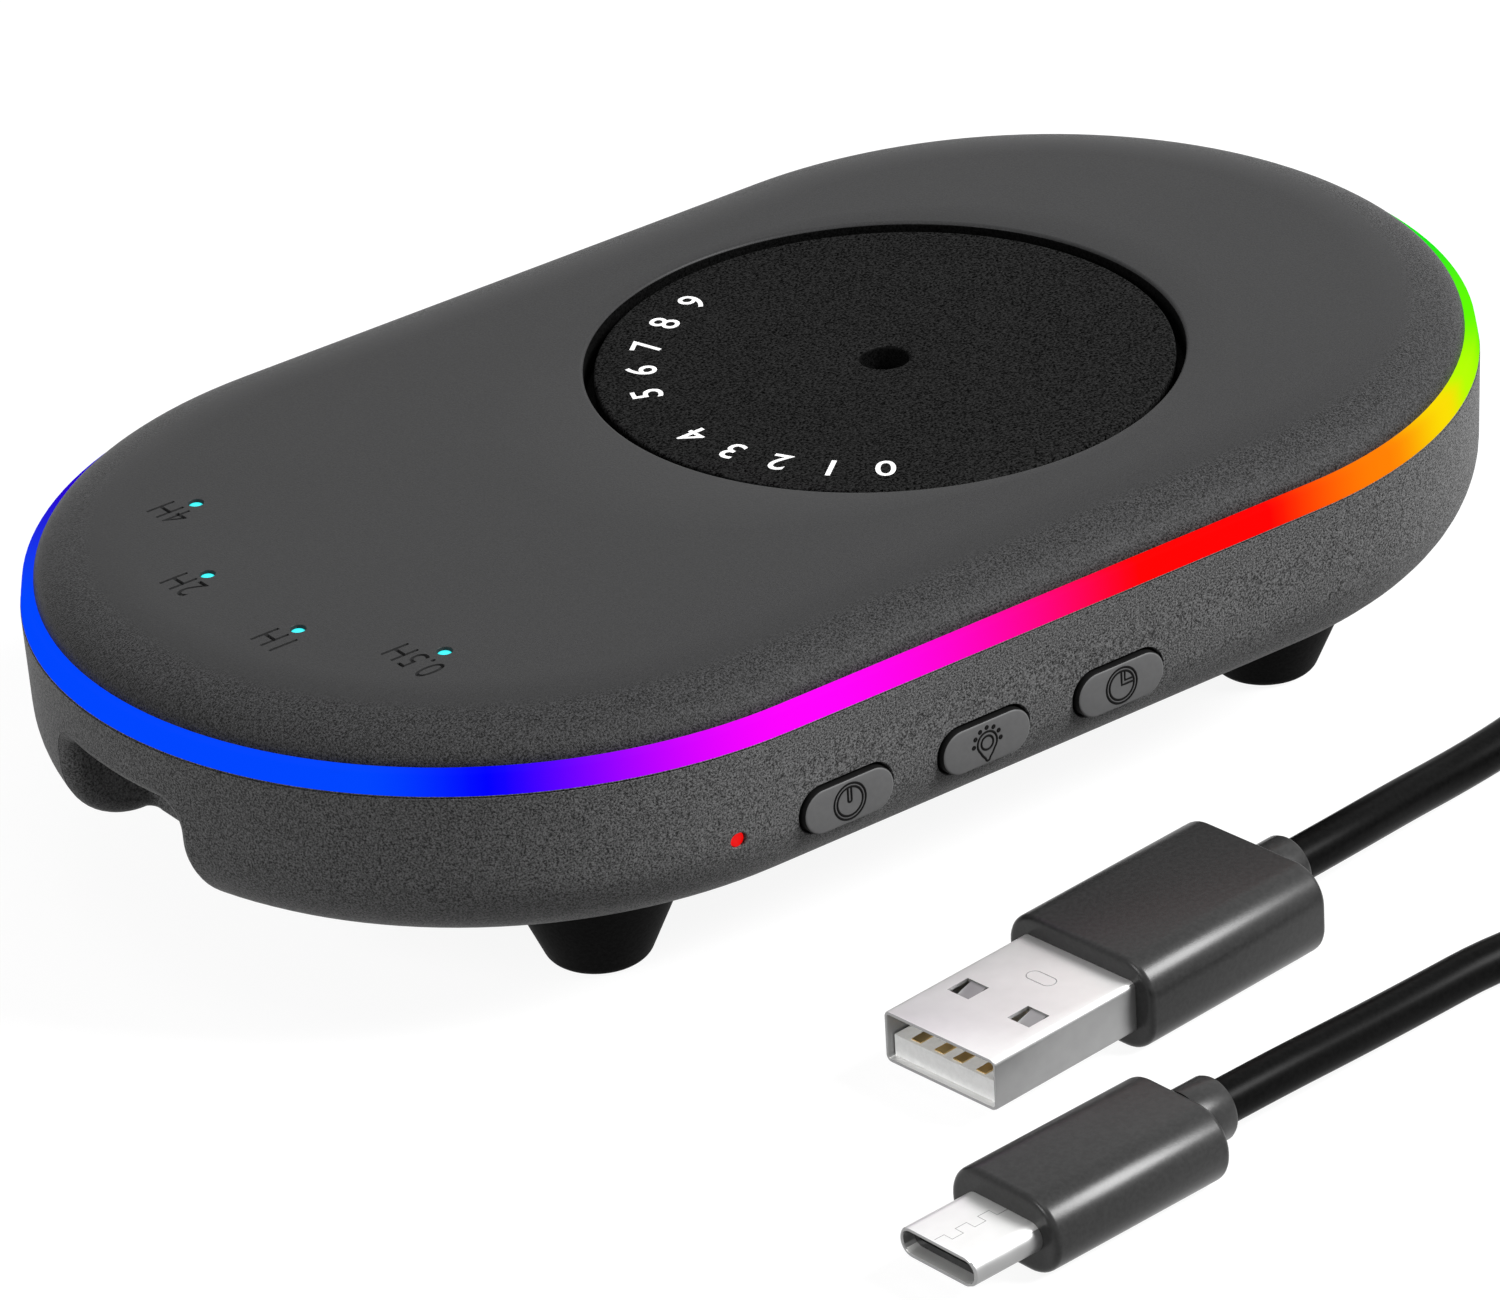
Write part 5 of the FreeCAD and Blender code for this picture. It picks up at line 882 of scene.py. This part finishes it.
# ---------------------------------------------------------------- indicator lights
# Clear acrylic light pipes, each held under the lid by its collar, and a red LED behind the front wall: small
# domed lenses that glow.


def glowing(name, base, shine, strength, rough=0.25):
    """A clear lens lit from behind: its glow varies a little over the surface, as moulded plastic does."""
    material = bpy.data.materials.new(name)
    add, link, out = nodes_of(material)
    cloud = noise(add, Scale=900.0, Detail=1.0)
    lens = add("BsdfPrincipled", Base_Color=(*base, 1), Roughness=rough, Specular_IOR_Level=0.1,
               Emission_Color=two_tones(add, cloud, [0.85 * c for c in shine], shine), Emission_Strength=strength)
    link(lens.outputs[0], out.inputs["Surface"])
    return material


timer_cyan = glowing("timer_cyan", (0.02, 0.25, 0.28), (0.03, 0.78, 0.80), 1.0)
PIPE_RADIUS, COLLAR_RADIUS, DOME_FOOT, DOME_HIGH = 0.58, 1.13, 28.70, 0.1
pipe_profile = [(0, 24.3), (PIPE_RADIUS, 24.3), (PIPE_RADIUS, 26.3), (COLLAR_RADIUS, 26.3), (COLLAR_RADIUS, 27.0),
                (PIPE_RADIUS, 27.0)]
pipe_profile += [(PIPE_RADIUS * math.cos(t), DOME_FOOT + DOME_HIGH * math.sin(t))
                 for t in np.radians(np.linspace(0, 90, 6))]
for tag, place in zip(("4", "2", "1", "half"), LIGHTS):
    lens = piece("timer_lens_" + tag, turned(pipe_profile, place, 32), 30)
    coat(lens, timer_cyan)
    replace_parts(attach(lens, "case"), "light_pipe_" + tag)

# ---------------------------------------------------------------- cable plugs
# The cable's two ends: a folded nickel-plated steel shell with its contacts inside, in a moulded grip of
# black PVC that ends in a short collar round the cable.


def box_line(half_width, half_height, corner, steps=8):
    """A rounded rectangle's points, counter-clockwise, in (across, up)."""
    turn = np.linspace(0, math.pi / 2, steps)
    quarter = corner * np.stack((np.cos(turn), np.sin(turn)), -1)
    spin = [np.array(((c, s), (-s, c))) for c, s in ((1, 0), (0, 1), (-1, 0), (0, -1))]
    middles = [(half_width - corner, half_height - corner), (corner - half_width, half_height - corner),
               (corner - half_width, corner - half_height), (half_width - corner, corner - half_height)]
    return np.concatenate([quarter @ matrix + middle for matrix, middle in zip(spin, middles)])


class Plug:
    """A plug's own frame: along it from the metal's tip, across it, and up; lying on the desk at a bearing."""

    def __init__(self, x, y, height, turn):
        self.origin, self.axes = np.array((x, y, height)), turning(turn)

    def lay(self, form):
        return form[0] @ self.axes + self.origin, form[1]

    def at(self, along):
        return np.array((along, 0.0, 0.0)) @ self.axes + self.origin


def rectangle(low_across, high_across, low, high):
    """A rectangle's corners (across, up)."""
    return np.array(((low_across, low), (high_across, low), (high_across, high), (low_across, high)))


def brick(low, high):
    """A block between two corners."""
    (x0, y0, z0), (x1, y1, z1) = low, high
    return bar([(x, rectangle(y0, y1, z0, z1)) for x in (x0, x1)])


PLUG_A = Plug(-29.4, -58.7, 4.0, 6.8)
PLUG_B = Plug(-46.4, -79.6, 3.3, 4.8)
SHEET = 0.3
nickel = plain_finish("nickel_plate", (0.76, 0.76, 0.75), (0.84, 0.84, 0.83), 700, 0.42, metal=0.8, bump=0.01,
                      strength=0.3)
# A darker copy of the nickel for the shells' sides and the spring tabs: painted shade.
nickel_painted_shade = plain_finish("nickel_painted_shade", (0.26, 0.26, 0.26), (0.34, 0.34, 0.34), 500, 0.42, metal=0.8)


def paint_shade_on_sides(shell):
    """A darker second finish on the faces of a folded shell that don't look up or down: painted shade."""
    shell.data.materials.append(nickel_painted_shade)
    second_where(shell, "normal", lambda x, y, z: np.abs(z) < 0.75)


# The grips and the cable are the same black PVC; the cable's copy is painted darker: painted shade on the cable.
pvc = grained("grip_pvc", (0.015, 0.015, 0.015), (0.021, 0.021, 0.021), 0.4, 0.004, 0.30, 0.22)
cable_pvc_painted_shade = grained("cable_pvc_painted_shade", (0.0015, 0.0015, 0.0015), (0.0030, 0.0030, 0.0030), 0.4, 0.004, 0.34, 0.03)

A_HALF_WIDTH, A_HALF_HEIGHT, A_METAL = 6.0, 2.25, 15.5
outer = box_line(A_HALF_WIDTH, A_HALF_HEIGHT, 0.55)
inner = box_line(A_HALF_WIDTH - SHEET, A_HALF_HEIGHT - SHEET, 0.3)
shell_a = piece("usb_a_metal", PLUG_A.lay(bar([
    (0.1, inner), (0.0, inner * 1.01), (0.0, outer * 0.99), (0.12, outer), (A_METAL + 2, outer), (A_METAL + 2, inner),
], loop=True)), 30)
WINDOW_START, WINDOW_LONG, WINDOW_ASIDE, TAB_LONG, TAB_HALF = 5.35, 2.3, 3.25, 1.75, 0.8
window_holes, tabs = [], []
for side in (-1, 1):
    for z in (-1, 1):
        middle, height = side * WINDOW_ASIDE, z * (A_HALF_HEIGHT - SHEET / 2)
        window_holes.append(brick(
            (WINDOW_START, middle - WINDOW_LONG / 2, height - 0.4),
            (WINDOW_START + WINDOW_LONG, middle + WINDOW_LONG / 2, height + 0.4),
        ))
        # the spring tab: a strip that dips into the window from its grip side
        slope = np.linspace(0, 1, 6)
        along = WINDOW_START + WINDOW_LONG - slope * TAB_LONG
        dip = z * (A_HALF_HEIGHT - SHEET) - z * (0.05 + 0.5 * slope)
        tabs.append(bar([(a, rectangle(middle - TAB_HALF, middle + TAB_HALF, d, d + z * 0.2))
                         for a, d in zip(along, dip)]))
carve(shell_a, [piece("windows", PLUG_A.lay(together(*window_holes)))], crease=30)
tab_piece = piece("usb_a_springs", PLUG_A.lay(together(*tabs)), 30)


def line_loop(path, height, thick, closed=True):
    """A pressed line on a plug's face, along points (along, across); it stands a little proud."""
    return band(tube(path, thick, 8, 0.25, closed) + (0, 0, height), loop=closed)


mark_line = np.delete(pill_line(0.72, 0.66, 44)[0], [21, 43], 0)[:, ::-1] + (11.3, 0.0)
mark = piece("usb_a_dimple", PLUG_A.lay(line_loop(mark_line, A_HALF_HEIGHT, 0.055)), 60)
# Dark grey lines: on the USB-A shell, painted shade of the pressed line; on the USB-C shell, the seam's dark joint.
groove_shade_and_seam_grey = plain_finish("painted_groove_shade_and_seam_grey", (0.14, 0.14, 0.14), (0.20, 0.20, 0.20), 900, 0.5)
# The spring tabs in the windows take the darker nickel: painted shade.
for part, metal in ((shell_a, nickel), (tab_piece, nickel_painted_shade), (mark, groove_shade_and_seam_grey)):
    coat(part, metal)
    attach(part, "case")
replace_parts(shell_a, "usb_a_shell")
paint_shade_on_sides(shell_a)

tongue = piece("usb_a_insert", PLUG_A.lay(brick((0.6, -5.55, -1.93), (17.0, 5.55, -0.05))), 30)
contacts = piece("usb_a_contacts", PLUG_A.lay(together(*[
    brick((0.9, across - 0.5, -0.06), (9.0, across + 0.5, 0.04)) for across in (-3.5, -1.0, 1.0, 3.5)
])), 30)
coat(tongue, grained("insert_white", (0.84, 0.84, 0.83), (0.90, 0.90, 0.89), 0.6, 0.003, 0.4))
coat(contacts, plain_finish("contact_gold", (0.72, 0.50, 0.20), (0.86, 0.64, 0.30), 1500, 0.28, metal=1.0, bump=0))
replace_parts(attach(tongue, "case"), "usb_a_tongue")
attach(contacts, "case")


def collar_rows(start, radius, length):
    """The short collar round the cable: a step down to a groove and a rounded end, as outlines along it."""
    turn = np.linspace(0, 2 * math.pi, 40, endpoint=False)
    circle = np.stack((np.cos(turn), np.sin(turn)), -1)
    end = start + length
    profile = [(start, radius - 0.45), (start + 0.8, radius - 0.45), (start + 0.95, radius), (end - 0.35, radius),
               (end - 0.1, radius - 0.12), (end, radius - 0.35), (end, 1.7)]
    return bar([(along, circle * size) for along, size in profile])


def grip_form(start, length, half_width, half_height, corner):
    """The moulded grip: a bar of one rounded outline whose two ends are rounded in by a small quarter circle,
    and its collar."""
    def outline(inset):
        return box_line(half_width - inset, half_height - inset, max(corner - inset, 0.2), 12)

    soft = 0.5
    stations = [(start, outline(soft * 1.6))]
    stations += [(along, outline(inset)) for along, inset in rounding(start, 0, soft, soft)]
    stations += [(along, outline(inset)) for along, inset in rounding(start + length, 0, -soft, soft)[::-1]]
    return together(bar(stations), collar_rows(start + length - 0.4, 2.7, 4.4))


grip_a = piece("usb_a_overmould", PLUG_A.lay(grip_form(A_METAL, 20.0, 7.75, 4.0, 3.0)), 30)
coat(grip_a, pvc)
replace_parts(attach(grip_a, "case"), "usb_a_grip")

B_METAL, B_HALF_WIDTH, B_HALF_HEIGHT = 6.8, 4.15, 1.25
outer = box_line(B_HALF_WIDTH, B_HALF_HEIGHT, 1.225, 12)
inner = box_line(B_HALF_WIDTH - SHEET, B_HALF_HEIGHT - SHEET, 0.93, 12)
shell_b = piece("usb_c_metal", PLUG_B.lay(bar([
    (0.12, inner), (0.0, inner * 1.02), (0.0, outer * 0.97), (0.15, outer), (B_METAL + 2, outer), (B_METAL + 2, inner),
], loop=True)), 30)
seam_along = np.repeat((0.2, 1.15, 2.3, 3.45, 4.6, 5.75, B_METAL), 2)[1:-1]
seam_across = np.repeat((0.45, -0.45, 0.45, -0.45, 0.45, -0.45), 2)
seam_line = np.stack((seam_along, seam_across), -1)
seam = piece("usb_c_seam", PLUG_B.lay(line_loop(seam_line, B_HALF_HEIGHT, 0.045, closed=False)), 60)
coat(seam, groove_shade_and_seam_grey)
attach(seam, "case")
core_line = box_line(B_HALF_WIDTH - SHEET - 0.03, B_HALF_HEIGHT - SHEET - 0.03, 0.85, 12)
core = piece("usb_c_insert", PLUG_B.lay(bar([(1.2, core_line), (8.7, core_line)])), 30)
carve(core, [piece("slot", PLUG_B.lay(brick((0.0, -3.2, -0.35), (5.5, 3.2, 0.35))))])
coat(core, grained("insert_black", (0.012, 0.012, 0.012), (0.022, 0.022, 0.022), 0.6, 0.003, 0.5))
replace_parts(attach(core, "case"), "usb_c_core")
coat(shell_b, nickel)
paint_shade_on_sides(shell_b)
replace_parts(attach(shell_b, "case"), "usb_c_shell")
grip_b = piece("usb_c_overmould", PLUG_B.lay(grip_form(B_METAL, 18.2, 5.8, 3.3, 3.2)), 30)
coat(grip_b, pvc)
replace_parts(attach(grip_b, "case"), "usb_c_grip")

# ---------------------------------------------------------------- cable and its tie
# One metre of round black PVC cable, both ends free on the desk, its middle wound in two layers and held
# by a hook-and-loop strap.

CABLE_RADIUS = 1.85
LAYER_1, LAYER_2 = 2.8, 6.6
COIL = np.array((67.0, -69.5))
COIL_OUTER_TURN, COIL_PITCH, COIL_START, COIL_SWEEP = 27.0, 3.75, 99.8, 199.6 + 360 * 6


def coil_points():
    """The coil's control points, clockwise from above: the radius shrinks by one pitch a turn in the lower
    layer, then the cable steps up and the radius grows again in the upper layer."""
    per_turn, turns = 16, COIL_SWEEP / 360
    share = np.linspace(0, 1, int(turns * per_turn) + 1)
    angle = np.radians(COIL_START - COIL_SWEEP * share)
    radius = COIL_OUTER_TURN - COIL_PITCH * (np.minimum(share, 1 - share) * turns)
    rise = np.clip((share - 0.5) * turns / 0.35 + 0.5, 0, 1)
    height = LAYER_1 + (LAYER_2 - LAYER_1) * rise * rise * (3 - 2 * rise)
    radius = radius / math.cos(math.pi / per_turn) ** 0.5
    return np.stack((COIL[0] + radius * np.cos(angle), COIL[1] + radius * np.sin(angle), height), -1)


LEAVE_A, LEAVE_B = PLUG_A.at(A_METAL + 24.0), PLUG_B.at(B_METAL + 22.2)
run_a = np.array([LEAVE_A, PLUG_A.at(A_METAL + 30.0), (24.2, -51.0, 3.0), (31.1, -49.2, 2.1), (37.7, -48.0, 1.9),
                  (46.2, -46.0, 1.9), (54.4, -43.7, 2.3)])
run_b = np.array([(51.5, -93.6, 5.3), (42.0, -87.2, 3.5), (34.9, -79.8, 2.3), (25.5, -74.8, 1.9), (14.8, -73.2, 1.9),
                  (5.7, -74.1, 2.0), (-2.8, -75.4, 2.6), PLUG_B.at(B_METAL + 28.2), LEAVE_B])
cable_points = np.concatenate((run_a, coil_points(), run_b))
cable_curve = bpy.data.curves.new("cable", "CURVE")
cable_curve.dimensions = "3D"
cable_curve.bevel_depth, cable_curve.bevel_resolution = CABLE_RADIUS * MM, 6
cable_curve.resolution_u, cable_curve.use_fill_caps = 5, True
spline = cable_curve.splines.new("NURBS")
spline.points.add(len(cable_points) - 1)
spline.points.foreach_set("co", np.concatenate((cable_points * MM, np.ones((len(cable_points), 1))), -1).ravel())
spline.order_u, spline.use_endpoint_u = 3, True
cable = bpy.data.objects.new("cable", cable_curve)
scene.collection.objects.link(cable)
coat(cable, cable_pvc_painted_shade)
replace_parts(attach(cable, "case"), "cable_to_usb_a", "cable_coil", "cable_to_usb_c")

STRAP_IN, STRAP_OUT, STRAP_THICK, STRAP_MIDDLE = 12.25, 29.05, 0.8, 4.65


def strap_form():
    """The strap: a flat band round the coil's section at its +X side, a rounded rectangle of two thicknesses."""
    middle, half = COIL[0] + (STRAP_IN + STRAP_OUT) / 2, (STRAP_OUT - STRAP_IN) / 2
    rows = [(y, box_line(half + STRAP_THICK - thin, STRAP_MIDDLE - thin, 1.6))
            for y, thin in ((-3.0, 0.1), (-2.85, 0.0), (2.85, 0.0), (3.0, 0.1))]
    rows += [(y, box_line(half, STRAP_MIDDLE - STRAP_THICK, 0.9)) for y in (3.0, -3.0)]
    return band(np.array([facing_y(line, COIL[1] + y, middle, STRAP_MIDDLE) for y, line in rows]), loop=True)


tie = piece("cable_strap", strap_form(), 30)
coat(tie, grained("strap_weave", (0.008, 0.008, 0.008), (0.030, 0.030, 0.031), 0.5, 0.12, 0.8))
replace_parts(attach(tie, "case"), "cable_tie")

# ---------------------------------------------------------------- pieces inside and behind
# The drive, the electronics and the screws, of steel, brass, acetal and circuit board, held by screws, pins and
# press fits. They keep their moulded or machined shapes; here they get their finish.

finishes = {
    plain_finish("machined_steel", (0.42, 0.42, 0.43), (0.55, 0.55, 0.56), 900, 0.3, 1.0):
        ("turntable_spindle", "idler_pin", "motor_shaft", "motor_can", "motor_clamp", "power_socket"),
    plain_finish("zinc_screw", (0.38, 0.38, 0.40), (0.52, 0.52, 0.53), 1200, 0.35, 1.0):
        ("case_screws", "turntable_screw", "board_screws", "motor_screws"),
    plain_finish("sintered_brass", (0.50, 0.34, 0.12), (0.66, 0.46, 0.18), 1500, 0.45, 1.0): ("turntable_bush",),
    plain_finish("acetal_white", (0.72, 0.72, 0.69), (0.80, 0.80, 0.77), 400, 0.4):
        ("turntable_gear", "idler_gear", "motor_pinion", "power_plunger", "light_plunger", "timer_plunger",
         "board_connectors", "timer_leds", "rgb_leds"),
    plain_finish("board_green_mask", (0.012, 0.10, 0.035), (0.02, 0.15, 0.055), 300, 0.35):
        ("main_board", "indicator_board"),
    plain_finish("component_black", (0.012, 0.012, 0.012), (0.022, 0.022, 0.022), 600, 0.5):
        ("board_chips", "power_switch", "light_switch", "timer_switch", "power_socket_tongue"),
    plain_finish("can_aluminium", (0.60, 0.60, 0.61), (0.70, 0.70, 0.71), 900, 0.3, 1.0): ("smoothing_capacitor",),
    plain_finish("strip_white_film", (0.66, 0.66, 0.64), (0.76, 0.76, 0.74), 500, 0.5):
        ("led_strip", "strip_tail", "indicator_ribbon"),
    plain_finish("lead_red", (0.45, 0.02, 0.015), (0.58, 0.03, 0.02), 500, 0.4): ("motor_leads",),
}
for material, names in finishes.items():
    for name in names:
        coat(nodes[name], material)
coat(nodes["status_led"], glowing("status_red", (0.02, 0.0, 0.0), (1.0, 0.001, 0.001), 0.85, rough=0.5))
